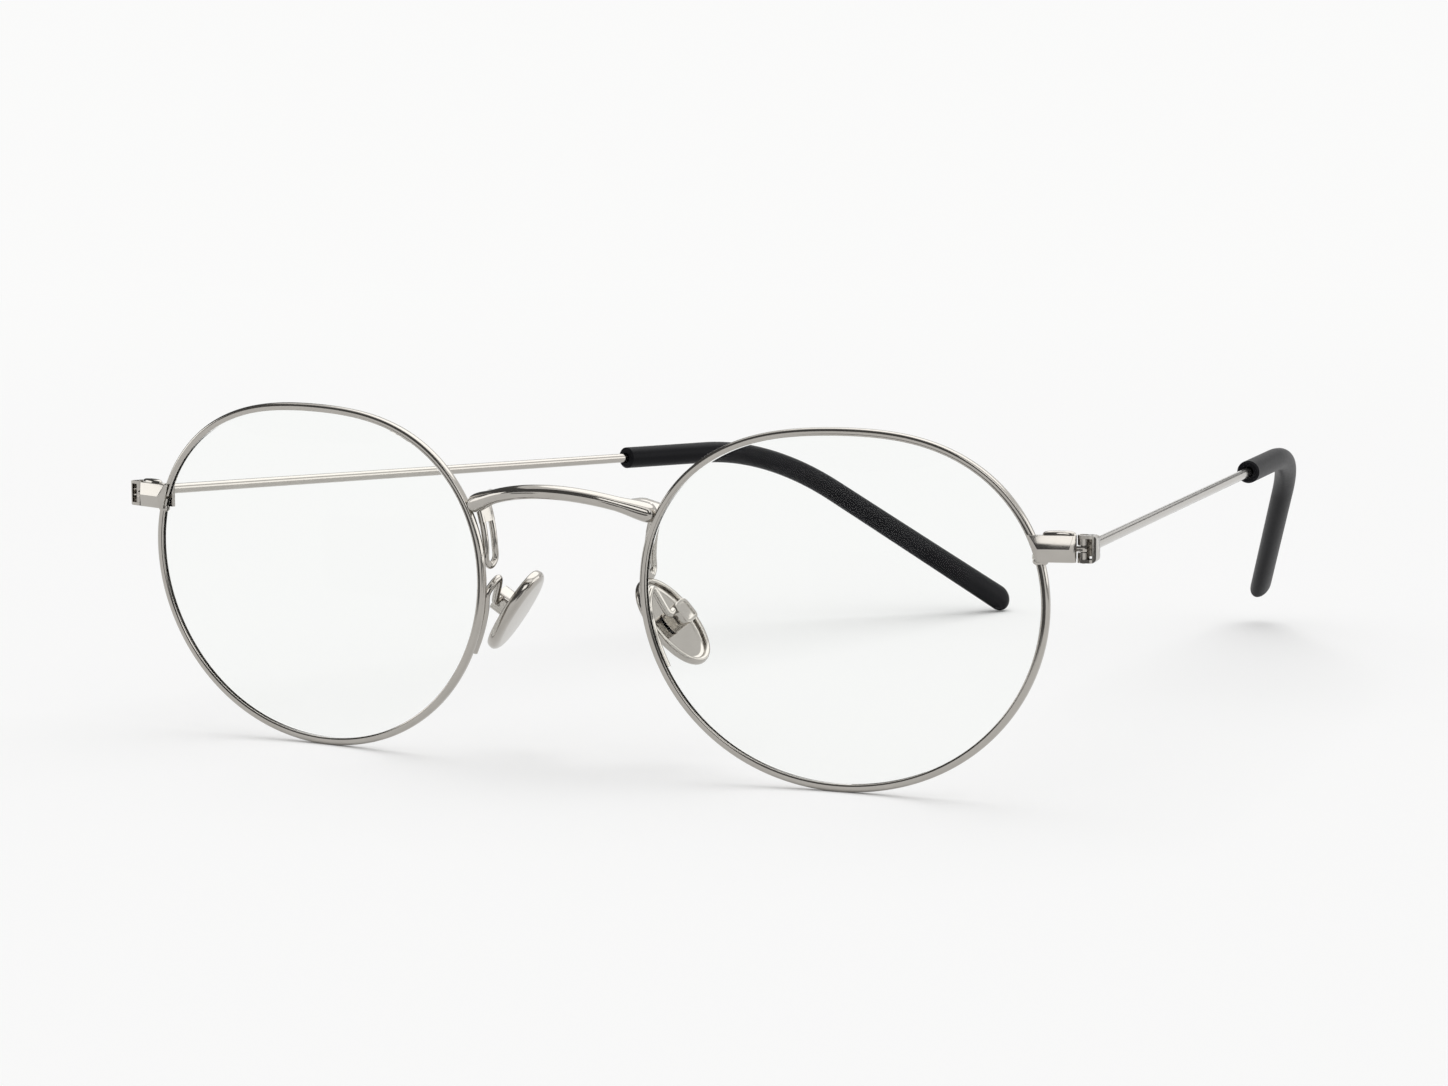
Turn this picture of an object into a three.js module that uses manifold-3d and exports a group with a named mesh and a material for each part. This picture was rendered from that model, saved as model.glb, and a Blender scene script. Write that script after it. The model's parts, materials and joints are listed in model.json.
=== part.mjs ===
// Round wire reading glasses: two split rims on an arched bridge, swivelling nose pads and folding temples.
// Millimetres. +X is to the right seen from the front, +Y runs back along the temples, +Z is up.
// Each piece is drawn for the right side, and the left side takes its mirror image.

import * as THREE from 'three';
import { mergeVertices } from 'three/addons/utils/BufferGeometryUtils.js';
import Module from 'manifold-3d';

const wasm = await Module();
wasm.setup();

const radians = THREE.MathUtils.degToRad;

// Lens opening, seen square on
const LENS_WIDTH = 48.2;
const LENS_HEIGHT = 40.2;
const LENS_DISTANCE = 22.8;
const PANTO_DROP = 0.5;
const UPSWEEP = 0.18;
const SHOULDER = 0.12;
const WRAP_ANGLE = radians(4.4);
const FORWARD_TILT = radians(2.3);

// Rim wire with its lens groove, split behind the end piece
const RIM_WALL = 0.92;
const RIM_DEPTH = 1.02;
const RIM_BEVEL = 0.25;
const GROOVE_DEPTH = 0.35;
const GROOVE_HALF_WIDTH = 0.33;
const RIM_SPLIT = 0.35;
const OUTLINE_STEPS = 72;

// Lens
const LENS_FRONT_BULGE = 1.7;
const LENS_BACK_BULGE = 1.2;
const LENS_PLAY = 0.08;

// End piece that carries the hinge, and the screwed lock that closes the rim
const END_PIECE_ANGLE = radians(18.5);
const END_PIECE_TURN = radians(18);
const END_PIECE_LENGTH = 4.88;
const END_PIECE_HEIGHT = 3.0;
const END_PIECE_RIDGE = 0.42;
const END_PIECE_EDGE = 0.38;
const END_PIECE_BEVEL = 0.75;
const END_PIECE_STRAP = 0.75;
const LOCK_LENGTH = 1.5;
const LOCK_DEPTH = 1.1;
const LOCK_HEIGHT = 1.05;
const RIM_SCREW_RADIUS = 0.28;
const RIM_SCREW_HEAD_RADIUS = 0.48;
const RIM_SCREW_HEAD_HEIGHT = 0.3;
const RIM_SCREW_GRIP = 0.9;

// Hinge: a tongue on the end piece between the two ears of a fork
const HINGE_OUT = 5.28;
const HINGE_BACK = 0.02;
const BARREL_RADIUS = 0.68;
const FORK_HEIGHT = 3.1;
const FORK_LENGTH = 2.1;
const FORK_NECK = 1.2;
const FORK_WIDTH = 1.4;
const TONGUE_HEIGHT = 0.6;
const TONGUE_WIDTH = 0.55;
const HINGE_SCREW_RADIUS = 0.32;
const HINGE_SCREW_HEAD_RADIUS = 0.48;
const HINGE_SCREW_HEAD_HEIGHT = 0.3;
const HINGE_SCREW_TAIL = 0.12;
const SCREW_CHAMFER = 0.1;

// Temple wire and its moulded tip
const TEMPLE_OFFSET = 0.55;
const TEMPLE_ABOVE = 0.2;
const WIRE_RADIUS = 0.63;
const TEMPLE_TO_TIP = 85.1;
const TEMPLE_TO_BEND = 114.2;
const TIP_DROP_LENGTH = 48.6;
const TIP_DROP_ANGLE = radians(31.9);
const TIP_INWARD_ANGLE = radians(17.5);
const TIP_BEND_RADIUS = 42;
const TIP_START_RADIUS = 1.47;
const TIP_END_WIDTH = 2.7;
const TIP_END_HEIGHT = 4.2;
const TIP_START_CHAMFER = 0.25;
const WIRE_END_COVER = 9;
const WIRE_END_PLAY = 0.3;
const TOE_IN = { left: radians(16.4), right: radians(8.8) };
const TEMPLE_RAISE = { left: 0, right: radians(1.35) };

// Bridge bar and its slotted feet
const BRIDGE_ANGLE = radians(158);
const BRIDGE_RISE = 2.5;
const BRIDGE_BOW = 3.6;
const BRIDGE_HEIGHT = 1.7;
const BRIDGE_DEPTH = 1.9;
const BRIDGE_END_HEIGHT = 1.5;
const BRIDGE_END_DEPTH = 2.6;
const BRIDGE_END_BEHIND = 0.6;
const FOOT_END_ANGLE = radians(176);
const FOOT_WIDTH = 2.6;
const FOOT_THICKNESS = 0.75;
const FOOT_LEAN = 1.1;
const FOOT_SLOT = 0.6;
const FOOT_SLOT_MARGIN = 0.8;

// Nose pads, each rocking on a pin in a small box at the end of a bent arm
const PAD_LENGTH = 12.2;
const PAD_WIDTH = 7.9;
const PAD_FRONT = 0.75;
const PAD_FACE_INSET = 1.9;
const PAD_EDGE = 0.5;
const PAD_LIP = 0.5;
const PAD_LIP_WIDTH = 0.65;
const PAD_FLOOR = 0.15;
const PAD_GAP = 21.4;
const PAD_BEHIND = 5.4;
const PAD_BELOW = 4.0;
const PAD_FLARE = radians(37);
const PAD_LEAN = radians(14);
const PAD_SPLAY = radians(2);
const PAD_BOX_LENGTH = 2.5;
const PAD_BOX_WIDTH = 2.3;
const PAD_BOX_DEPTH = 2.4;
const PAD_BOX_WALL = 0.38;
const PAD_BOX_LIFT = 0.8;
const PAD_BOX_CORNER = 0.45;
const PAD_TAB_PLAY = 0.2;
const PAD_PIN_RADIUS = 0.32;
const PAD_ARM_RADIUS = 0.45;
const PAD_ARM_START = radians(201);
const PAD_ARM_LEAVE = radians(183);
const PAD_ARM_RISE = 2.4;
const PAD_ARM_INWARD = 1.0;

// Clearances
const PIN_PLAY = 0.07;
const EAR_PLAY = 0.12;
const SOLDER_GAP = 0.1;

const STEEL = { color: 0xb4b0aa, roughness: 0.18, metalness: 1 };
const SCREW_STEEL = { color: 0x9c9892, roughness: 0.3, metalness: 1 };
const CLEAR_LENS = { color: 0xf4f8f8, roughness: 0.03, metalness: 0, transparent: true, opacity: 0.2 };
const BLACK_ACETATE = { color: 0x141416, roughness: 0.35, metalness: 0 };

// Closed bodies and booleans

function toSolid(geometry) {
  const bare = geometry.clone();
  bare.deleteAttribute('normal');
  bare.deleteAttribute('uv');
  const merged = mergeVertices(bare, 1e-5);
  const vertProperties = new Float32Array(merged.attributes.position.array);
  const triVerts = new Uint32Array(merged.index.array);
  return new wasm.Manifold(new wasm.Mesh({ numProp: 3, vertProperties, triVerts }));
}

function toGeometry(solid) {
  const { vertProperties, triVerts } = solid.getMesh();
  const geometry = new THREE.BufferGeometry();
  geometry.setAttribute('position', new THREE.BufferAttribute(vertProperties, 3));
  geometry.setIndex(new THREE.BufferAttribute(triVerts, 1));
  geometry.computeVertexNormals();
  return geometry;
}

function capTriangles(outline) {
  const anticlockwise = THREE.ShapeUtils.area(outline) > 0;
  return THREE.ShapeUtils.triangulateShape(outline, []).map(([a, b, c]) => {
    const turnsSame = THREE.ShapeUtils.area([outline[a], outline[b], outline[c]]) > 0 === anticlockwise;
    return turnsSame ? [a, b, c] : [a, c, b];
  });
}

function signedVolume(points, triangles) {
  const normal = new THREE.Vector3();
  return triangles.reduce((sum, [a, b, c]) => (
    sum + points[a].dot(normal.crossVectors(points[b], points[c])) / 6
  ), 0);
}

// Skins a row of rings that all have the same number of points, and closes the first and last ring flat.
function loft(rings, outline) {
  const count = outline.length;
  const points = rings.flat();
  const triangles = [];
  for (let ring = 0; ring + 1 < rings.length; ring += 1) {
    for (let corner = 0; corner < count; corner += 1) {
      const a = ring * count + corner;
      const b = ring * count + ((corner + 1) % count);
      triangles.push([a, b, b + count], [a, b + count, a + count]);
    }
  }
  const last = (rings.length - 1) * count;
  for (const [a, b, c] of capTriangles(outline)) {
    triangles.push([c, b, a], [last + a, last + b, last + c]);
  }
  const inside = signedVolume(points, triangles) < 0;
  const geometry = new THREE.BufferGeometry().setFromPoints(points);
  geometry.setIndex(triangles.flatMap(([a, b, c]) => (inside ? [c, b, a] : [a, b, c])));
  geometry.computeVertexNormals();
  return geometry;
}

function ellipse(halfWidth, halfHeight, sides) {
  const outline = [];
  for (let side = 0; side < sides; side += 1) {
    const angle = (2 * Math.PI * (side + 0.5)) / sides;
    outline.push(new THREE.Vector2(halfWidth * Math.cos(angle), halfHeight * Math.sin(angle)));
  }
  return outline;
}

function box(width, depth, height, x, y, z) {
  return toSolid(new THREE.BoxGeometry(width, depth, height).translate(x, y, z));
}

// A round rod along Z between two heights
function rod(radius, low, high, sides = 20) {
  const geometry = new THREE.CylinderGeometry(radius, radius, high - low, sides);
  return geometry.rotateX(Math.PI / 2).translate(0, 0, (low + high) / 2);
}

function slab(shape, low, high) {
  return new THREE.ExtrudeGeometry(shape, { depth: high - low, bevelEnabled: false, curveSegments: 5 })
    .translate(0, 0, low);
}

function mirrorInX(geometry) {
  const flipped = (geometry.index ? geometry.toNonIndexed() : geometry.clone()).scale(-1, 1, 1);
  const position = flipped.attributes.position;
  const first = new THREE.Vector3();
  const second = new THREE.Vector3();
  for (let corner = 0; corner < position.count; corner += 3) {
    first.fromBufferAttribute(position, corner);
    second.fromBufferAttribute(position, corner + 1);
    position.setXYZ(corner, second.x, second.y, second.z);
    position.setXYZ(corner + 1, first.x, first.y, first.z);
  }
  flipped.computeVertexNormals();
  return flipped;
}

// Lens outline and the frame of the right lens

const lensCentre = new THREE.Vector3((LENS_DISTANCE + LENS_WIDTH) / 2, 0, 0);
const lensTurn = new THREE.Euler(FORWARD_TILT, 0, WRAP_ANGLE, 'ZXY');

// Radius of the lens opening, with the angle counted from the temple side upwards
function lensRadius(angle) {
  const round = (LENS_WIDTH + LENS_HEIGHT) / 4;
  const oval = ((LENS_WIDTH - LENS_HEIGHT) / 4) * Math.cos(2 * angle);
  const droop = PANTO_DROP * Math.sin(3 * angle) + UPSWEEP * Math.sin(2 * angle);
  return round + oval + droop + SHOULDER * (1 - Math.cos(4 * angle));
}

function inLens(angle, offset, depth) {
  const radius = lensRadius(angle) + offset;
  return new THREE.Vector3(radius * Math.cos(angle), depth, radius * Math.sin(angle));
}

function onFront(angle, offset, depth) {
  return inLens(angle, offset, depth).applyEuler(lensTurn).add(lensCentre);
}

function lowestRimHeight() {
  let lowest = Infinity;
  for (let step = 0; step < OUTLINE_STEPS; step += 1) {
    const angle = (2 * Math.PI * step) / OUTLINE_STEPS;
    for (const side of [-1, 1]) {
      lowest = Math.min(lowest, onFront(angle, RIM_WALL, (side * RIM_DEPTH) / 2 - side * RIM_BEVEL).z);
    }
  }
  return lowest;
}

// Rim: the grooved section swept round the lens, open at the split
function rimGeometry() {
  const half = RIM_DEPTH / 2;
  const section = [
    [0, -half], [RIM_WALL - RIM_BEVEL, -half], [RIM_WALL, RIM_BEVEL - half],
    [RIM_WALL, half - RIM_BEVEL], [RIM_WALL - RIM_BEVEL, half], [0, half],
    [0, GROOVE_HALF_WIDTH], [GROOVE_DEPTH, 0], [0, -GROOVE_HALF_WIDTH],
  ].map(([offset, depth]) => new THREE.Vector2(offset, depth));
  const splitAngle = RIM_SPLIT / lensRadius(END_PIECE_ANGLE);
  const rings = [];
  for (let step = 0; step <= OUTLINE_STEPS; step += 1) {
    const turn = (2 * Math.PI - splitAngle) * (step / OUTLINE_STEPS);
    const angle = END_PIECE_ANGLE + splitAngle / 2 + turn;
    rings.push(section.map(({ x, y }) => inLens(angle, x, y)));
  }
  return loft(rings, section);
}

// Lens: a thin meniscus with a bevelled edge that sits in the groove
function lensGeometry() {
  const zones = [0.12, 0.45, 0.75, 1];
  const rings = [];
  const ring = (place) => {
    const points = [];
    for (let step = 0; step < OUTLINE_STEPS; step += 1) {
      points.push(place((2 * Math.PI * step) / OUTLINE_STEPS));
    }
    rings.push(points);
  };
  const face = (share, side, bulge) => {
    const depth = side * GROOVE_HALF_WIDTH - bulge * (1 - share * share);
    ring((angle) => {
      const edge = inLens(angle, -LENS_PLAY, 0);
      return new THREE.Vector3(edge.x * share, depth, edge.z * share);
    });
  };
  zones.forEach((share) => face(share, -1, LENS_FRONT_BULGE));
  ring((angle) => inLens(angle, GROOVE_DEPTH - LENS_PLAY, 0));
  [...zones].reverse().forEach((share) => face(share, 1, LENS_BACK_BULGE));
  const outline = rings[0].map(({ x, z }) => new THREE.Vector2(x, z));
  return loft(rings, outline);
}

// End piece, in a frame on the rim's middle line with X pointing out to the hinge

const rimMiddle = RIM_WALL / 2;
const plateBack = -RIM_DEPTH / 2 - SOLDER_GAP;
const rimLean = Math.tan(END_PIECE_ANGLE);
const endHalf = END_PIECE_HEIGHT / 2;
const lockInner = rimMiddle / Math.cos(END_PIECE_ANGLE) + endHalf * rimLean + SOLDER_GAP;
const lockBack = plateBack + LOCK_DEPTH;
const lockTop = LOCK_HEIGHT - endHalf;
const rimScrewPlace = [lockInner + LOCK_LENGTH / 2, plateBack + LOCK_DEPTH / 2];
const endOuter = END_PIECE_LENGTH - rimMiddle;

function endPieceGeometry() {
  const front = plateBack - END_PIECE_EDGE - END_PIECE_RIDGE;
  const roof = new THREE.Shape([
    new THREE.Vector2(front, 0), new THREE.Vector2(front + END_PIECE_RIDGE, -endHalf),
    new THREE.Vector2(lockBack, -endHalf), new THREE.Vector2(lockBack, endHalf),
    new THREE.Vector2(front + END_PIECE_RIDGE, endHalf),
  ]);
  const reach = END_PIECE_LENGTH + END_PIECE_HEIGHT;
  const roofBar = new THREE.ExtrudeGeometry(roof, { depth: 2 * reach, bevelEnabled: false })
    .applyMatrix4(new THREE.Matrix4().makeBasis(
      new THREE.Vector3(0, 1, 0), new THREE.Vector3(0, 0, 1), new THREE.Vector3(1, 0, 0)))
    .translate(-reach, 0, 0);
  const strapBack = plateBack - END_PIECE_EDGE + END_PIECE_STRAP;
  const plan = new THREE.Shape([
    new THREE.Vector2(-reach, front),
    new THREE.Vector2(endOuter - END_PIECE_BEVEL, front),
    new THREE.Vector2(endOuter, front + END_PIECE_BEVEL),
    new THREE.Vector2(endOuter, strapBack - END_PIECE_BEVEL / 2),
    new THREE.Vector2(endOuter - END_PIECE_BEVEL / 2, strapBack),
    new THREE.Vector2(lockInner + LOCK_LENGTH + SOLDER_GAP, lockBack),
    new THREE.Vector2(lockInner, lockBack),
    new THREE.Vector2(lockInner, plateBack),
    new THREE.Vector2(-reach, plateBack),
  ]);
  const innerEdge = toSolid(new THREE.BoxGeometry(2 * reach, 2 * reach, 4 * reach)
    .translate(-reach - rimMiddle, 0, 0).rotateY(-END_PIECE_ANGLE));
  const lockRoom = box(
    LOCK_LENGTH + 2 * SOLDER_GAP, LOCK_DEPTH + 2 * SOLDER_GAP, LOCK_HEIGHT + SOLDER_GAP + endHalf,
    lockInner + LOCK_LENGTH / 2, plateBack + LOCK_DEPTH / 2 + 2 * SOLDER_GAP,
    (lockTop + SOLDER_GAP - 2 * endHalf) / 2);
  const tongueLength = HINGE_OUT - endOuter + END_PIECE_BEVEL / 2;
  const tongueHalf = TONGUE_HEIGHT / 2;
  const tongue = box(
    tongueLength, TONGUE_WIDTH, TONGUE_HEIGHT,
    HINGE_OUT - tongueLength / 2, HINGE_BACK - TONGUE_WIDTH / 2, 0);
  const eye = rod(BARREL_RADIUS, -tongueHalf, tongueHalf).translate(HINGE_OUT, HINGE_BACK, 0);
  const hingeHole = rod(HINGE_SCREW_RADIUS + PIN_PLAY, -endHalf, endHalf).translate(HINGE_OUT, HINGE_BACK, 0);
  const screwTop = lockTop + RIM_SCREW_GRIP + 2 * SOLDER_GAP;
  const screwHole = rod(RIM_SCREW_RADIUS + PIN_PLAY, -endHalf, screwTop).translate(...rimScrewPlace, 0);
  const body = toSolid(roofBar).intersect(toSolid(slab(plan, -endHalf, endHalf)));
  const cleared = body.subtract(innerEdge).subtract(lockRoom).subtract(toSolid(screwHole));
  return toGeometry(cleared.add(tongue).add(toSolid(eye)).subtract(toSolid(hingeHole)));
}

function rimLockGeometry() {
  const depth = LOCK_DEPTH - SOLDER_GAP;
  const block = box(
    LOCK_LENGTH, depth, LOCK_HEIGHT,
    lockInner + LOCK_LENGTH / 2, plateBack + SOLDER_GAP + depth / 2, lockTop - LOCK_HEIGHT / 2);
  const hole = toSolid(rod(RIM_SCREW_RADIUS + PIN_PLAY, -END_PIECE_HEIGHT, END_PIECE_HEIGHT)
    .translate(...rimScrewPlace, 0));
  return toGeometry(block.subtract(hole));
}

// A screw turned about Z: its head under the work, its shank pointing up
function screwGeometry(shank, head, headHeight, under, tip) {
  const profile = [
    [0, under - headHeight], [head - SCREW_CHAMFER, under - headHeight],
    [head, under - headHeight + SCREW_CHAMFER], [head, under],
    [shank, under], [shank, tip - SCREW_CHAMFER], [shank - SCREW_CHAMFER, tip], [0, tip],
  ].map(([x, y]) => new THREE.Vector2(x, y));
  return new THREE.LatheGeometry(profile, 16).rotateX(Math.PI / 2);
}

// Hinge fork, in the temple's frame with the hinge pin on Z and the wire running along Y
function forkGeometry() {
  const half = FORK_HEIGHT / 2;
  const inner = TEMPLE_OFFSET - FORK_WIDTH / 2;
  const outer = TEMPLE_OFFSET + FORK_WIDTH / 2;
  const plan = new THREE.Shape();
  plan.moveTo(inner, FORK_LENGTH);
  plan.lineTo(inner, FORK_NECK);
  plan.lineTo(-BARREL_RADIUS, 0);
  plan.absarc(0, 0, BARREL_RADIUS, Math.PI, 2 * Math.PI, false);
  plan.lineTo(outer, FORK_NECK);
  plan.lineTo(outer, FORK_LENGTH);
  plan.closePath();
  const slotHalf = TONGUE_HEIGHT / 2 + EAR_PLAY;
  const slot = toSolid(rod(FORK_NECK, -slotHalf, slotHalf, 28));
  const bore = toSolid(rod(HINGE_SCREW_RADIUS + PIN_PLAY, -FORK_HEIGHT, FORK_HEIGHT));
  const headRoom = toSolid(rod(
    HINGE_SCREW_HEAD_RADIUS + PIN_PLAY, half - HINGE_SCREW_HEAD_HEIGHT - PIN_PLAY, FORK_HEIGHT));
  return toGeometry(toSolid(slab(plan, -half, half)).subtract(slot).subtract(bore).subtract(headRoom));
}

// Temple: straight wire, ear bend, drop

const hingePlace = new THREE.Vector3(HINGE_OUT, HINGE_BACK, 0)
  .applyAxisAngle(new THREE.Vector3(0, 0, 1), END_PIECE_TURN)
  .add(onFront(END_PIECE_ANGLE, rimMiddle, 0));
const wireHeight = hingePlace.z + TEMPLE_ABOVE - lowestRimHeight();
const tipFoot = TIP_END_HEIGHT / 2;
const tipDrop = (TIP_DROP_LENGTH - tipFoot) * Math.sin(TIP_DROP_ANGLE);
const templeSlope = Math.asin((tipDrop + tipFoot - wireHeight) / TEMPLE_TO_BEND);

const along = new THREE.Vector3(0, Math.cos(templeSlope), Math.sin(templeSlope));
const down = new THREE.Vector3(
  -Math.sin(TIP_INWARD_ANGLE) * Math.cos(TIP_DROP_ANGLE),
  Math.cos(TIP_INWARD_ANGLE) * Math.cos(TIP_DROP_ANGLE),
  -Math.sin(TIP_DROP_ANGLE));
const bendAxis = new THREE.Vector3().crossVectors(along, down).normalize();
const bendAngle = along.angleTo(down);
const bendTangent = TIP_BEND_RADIUS * Math.tan(bendAngle / 2);
const bendStart = TEMPLE_TO_BEND - bendTangent;
const bendEnd = bendStart + TIP_BEND_RADIUS * bendAngle;
const templeLength = bendEnd + TIP_DROP_LENGTH - bendTangent;

// The middle line of the temple at a distance from the hinge, with the direction there
function templeAt(distance) {
  const turn = THREE.MathUtils.clamp((distance - bendStart) / TIP_BEND_RADIUS, 0, bendAngle);
  const direction = along.clone().applyAxisAngle(bendAxis, turn);
  const inward = new THREE.Vector3().crossVectors(bendAxis, along);
  const place = new THREE.Vector3(TEMPLE_OFFSET, 0, TEMPLE_ABOVE)
    .addScaledVector(along, Math.min(distance, bendStart) + TIP_BEND_RADIUS * Math.sin(turn))
    .addScaledVector(inward, TIP_BEND_RADIUS * (1 - Math.cos(turn)))
    .addScaledVector(direction, Math.max(distance - bendEnd, 0));
  return { place, direction };
}

function templeRing(distance, halfWidth, halfHeight, sides) {
  const { place, direction } = templeAt(distance);
  const upward = new THREE.Vector3().crossVectors(bendAxis, direction).negate();
  return ellipse(halfWidth, halfHeight, sides).map(({ x, y }) => (
    place.clone().addScaledVector(bendAxis, x).addScaledVector(upward, y)
  ));
}

function bendStops(from, to, bendSteps) {
  const stops = [from];
  for (let step = 0; step <= bendSteps; step += 1) {
    stops.push(bendStart + ((bendEnd - bendStart) * step) / bendSteps);
  }
  return [...stops, to];
}

function templeRod(radius, from, to, sides) {
  const rings = bendStops(from, to, 6).map((distance) => templeRing(distance, radius, radius, sides));
  return loft(rings, ellipse(radius, radius, sides));
}

function wireGeometry() {
  return templeRod(WIRE_RADIUS, FORK_LENGTH + SOLDER_GAP, templeLength - WIRE_END_COVER, 12);
}

function tipGeometry() {
  const sides = 16;
  const size = (distance) => {
    const share = ((distance - TEMPLE_TO_TIP) / (templeLength - TEMPLE_TO_TIP)) ** 2;
    const chamfer = Math.max(0, TIP_START_CHAMFER - (distance - TEMPLE_TO_TIP));
    const fromEnd = THREE.MathUtils.clamp(1 - (templeLength - distance) / tipFoot, 0, 0.98);
    const round = Math.sqrt(1 - fromEnd * fromEnd);
    const halfWidth = THREE.MathUtils.lerp(TIP_START_RADIUS, TIP_END_WIDTH / 2, share) - chamfer;
    const halfHeight = THREE.MathUtils.lerp(TIP_START_RADIUS, TIP_END_HEIGHT / 2, share) - chamfer;
    return [halfWidth * round, halfHeight * round];
  };
  const start = TEMPLE_TO_TIP + TIP_START_CHAMFER;
  const shoulder = templeLength - tipFoot;
  const straight = [1, 2, 3].map((step) => bendEnd + ((shoulder - bendEnd) * step) / 3);
  const rounding = [0.35, 0.65, 0.87, 0.98].map((share) => shoulder + tipFoot * share);
  const stops = [TEMPLE_TO_TIP, ...bendStops(start, bendEnd, 8).slice(0, -1), ...straight, ...rounding];
  const rings = stops.map((distance) => templeRing(distance, ...size(distance), sides));
  const sleeve = loft(rings, ellipse(1, 1, sides));
  const boreEnd = templeLength - WIRE_END_COVER + WIRE_END_PLAY;
  const bore = templeRod(WIRE_RADIUS + SOLDER_GAP, TEMPLE_TO_TIP - 1, boreEnd, 12);
  return toGeometry(toSolid(sleeve).subtract(toSolid(bore)));
}

// Bridge: an arched bar that flattens into a slotted foot behind each rim

const bridgeEnd = onFront(BRIDGE_ANGLE, rimMiddle, BRIDGE_END_BEHIND);

function bridgeBar() {
  const steps = 20;
  const rings = [];
  for (let step = 0; step <= steps; step += 1) {
    const share = (2 * step) / steps - 1;
    const rise = 1 - share * share;
    const place = new THREE.Vector3(
      share * bridgeEnd.x, bridgeEnd.y - BRIDGE_BOW * rise, bridgeEnd.z + BRIDGE_RISE * rise);
    const direction = new THREE.Vector3(
      bridgeEnd.x, 2 * share * BRIDGE_BOW, -2 * share * BRIDGE_RISE).normalize();
    const backward = new THREE.Vector3().crossVectors(new THREE.Vector3(0, 0, 1), direction).normalize();
    const upward = new THREE.Vector3().crossVectors(direction, backward);
    const flat = share ** 6;
    const section = ellipse(
      THREE.MathUtils.lerp(BRIDGE_DEPTH, BRIDGE_END_DEPTH, flat) / 2,
      THREE.MathUtils.lerp(BRIDGE_HEIGHT, BRIDGE_END_HEIGHT, flat) / 2, 12);
    rings.push(section.map(({ x, y }) => (
      place.clone().addScaledVector(backward, x).addScaledVector(upward, y)
    )));
  }
  return loft(rings, ellipse(1, 1, 12));
}

// A strip beside the rim between two angles; its middle may drift across the rim on the way down
function rimStrip(startAngle, endAngle, offsets, depth, thickness, width) {
  const steps = Math.ceil((endAngle - startAngle) / radians(2.5));
  const section = [[-1, -1], [1, -1], [1, 1], [-1, 1]].map(([x, y]) => new THREE.Vector2(x, y));
  const rings = [];
  for (let step = 0; step <= steps; step += 1) {
    const angle = THREE.MathUtils.lerp(startAngle, endAngle, step / steps);
    const offset = THREE.MathUtils.lerp(...offsets, step / steps);
    rings.push(section.map(({ x, y }) => (
      onFront(angle, offset + (x * thickness) / 2, depth + (y * width) / 2)
    )));
  }
  return toSolid(loft(rings, section));
}

function bridgeGeometry() {
  const margin = FOOT_SLOT_MARGIN / lensRadius(BRIDGE_ANGLE);
  const depth = RIM_DEPTH / 2 + SOLDER_GAP + FOOT_WIDTH / 2;
  const offsets = [RIM_WALL + FOOT_LEAN / 2, RIM_WALL - FOOT_LEAN / 2];
  const foot = rimStrip(BRIDGE_ANGLE, FOOT_END_ANGLE, offsets, depth, FOOT_THICKNESS, FOOT_WIDTH);
  const slot = rimStrip(
    BRIDGE_ANGLE + 2 * margin, FOOT_END_ANGLE - margin, offsets, depth, 2 * FOOT_THICKNESS, FOOT_SLOT);
  const reach = radians(30);
  const rimRoom = rimStrip(
    BRIDGE_ANGLE - reach, FOOT_END_ANGLE + reach, [0, 0], 0,
    2 * (RIM_WALL + SOLDER_GAP), RIM_DEPTH + 2 * SOLDER_GAP);
  const footSide = toGeometry(foot.subtract(slot));
  const roomSide = toGeometry(rimRoom);
  const whole = toSolid(bridgeBar()).add(toSolid(footSide)).add(toSolid(mirrorInX(footSide)));
  return toGeometry(whole.subtract(toSolid(roomSide)).subtract(toSolid(mirrorInX(roomSide))));
}

// Nose pad, in a frame with its back along X, its width along Y and its length along Z

const padPinHeight = PAD_BOX_LIFT + PAD_BOX_DEPTH / 2;
const tabLength = PAD_BOX_LENGTH - 2 * PAD_BOX_WALL - 2 * PAD_TAB_PLAY;
const tabWidth = PAD_BOX_WIDTH - 2 * PAD_BOX_WALL - 2 * PAD_TAB_PLAY;

function padPin(radius, length) {
  return rod(radius, -length / 2, length / 2, 14).rotateX(Math.PI / 2).translate(padPinHeight, 0, 0);
}

function nosePadGeometry() {
  const sides = 28;
  const levels = [
    [PAD_FACE_INSET, -PAD_FRONT], [PAD_EDGE, PAD_EDGE * 0.4 - PAD_FRONT],
    [PAD_EDGE * 0.25, PAD_EDGE - PAD_FRONT], [0, 0],
    [PAD_EDGE * 0.25, PAD_LIP - PAD_EDGE * 0.25], [PAD_EDGE * 0.5, PAD_LIP],
    [PAD_LIP_WIDTH, PAD_LIP], [PAD_LIP_WIDTH + PAD_EDGE * 0.4, PAD_FLOOR],
  ];
  const outline = (inset) => ellipse(PAD_WIDTH / 2 - inset, PAD_LENGTH / 2 - inset, sides);
  const rings = levels.map(([inset, level]) => (
    outline(inset).map(({ x, y }) => new THREE.Vector3(level, x, y))
  ));
  const plate = toSolid(loft(rings, outline(0)));
  const tabTop = PAD_BOX_LIFT + PAD_BOX_DEPTH - PAD_BOX_WALL - PAD_TAB_PLAY;
  const tab = box(tabTop, tabWidth, tabLength, tabTop / 2, 0, 0);
  return toGeometry(plate.add(tab).subtract(toSolid(padPin(PAD_PIN_RADIUS + PIN_PLAY, PAD_WIDTH))));
}

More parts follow.
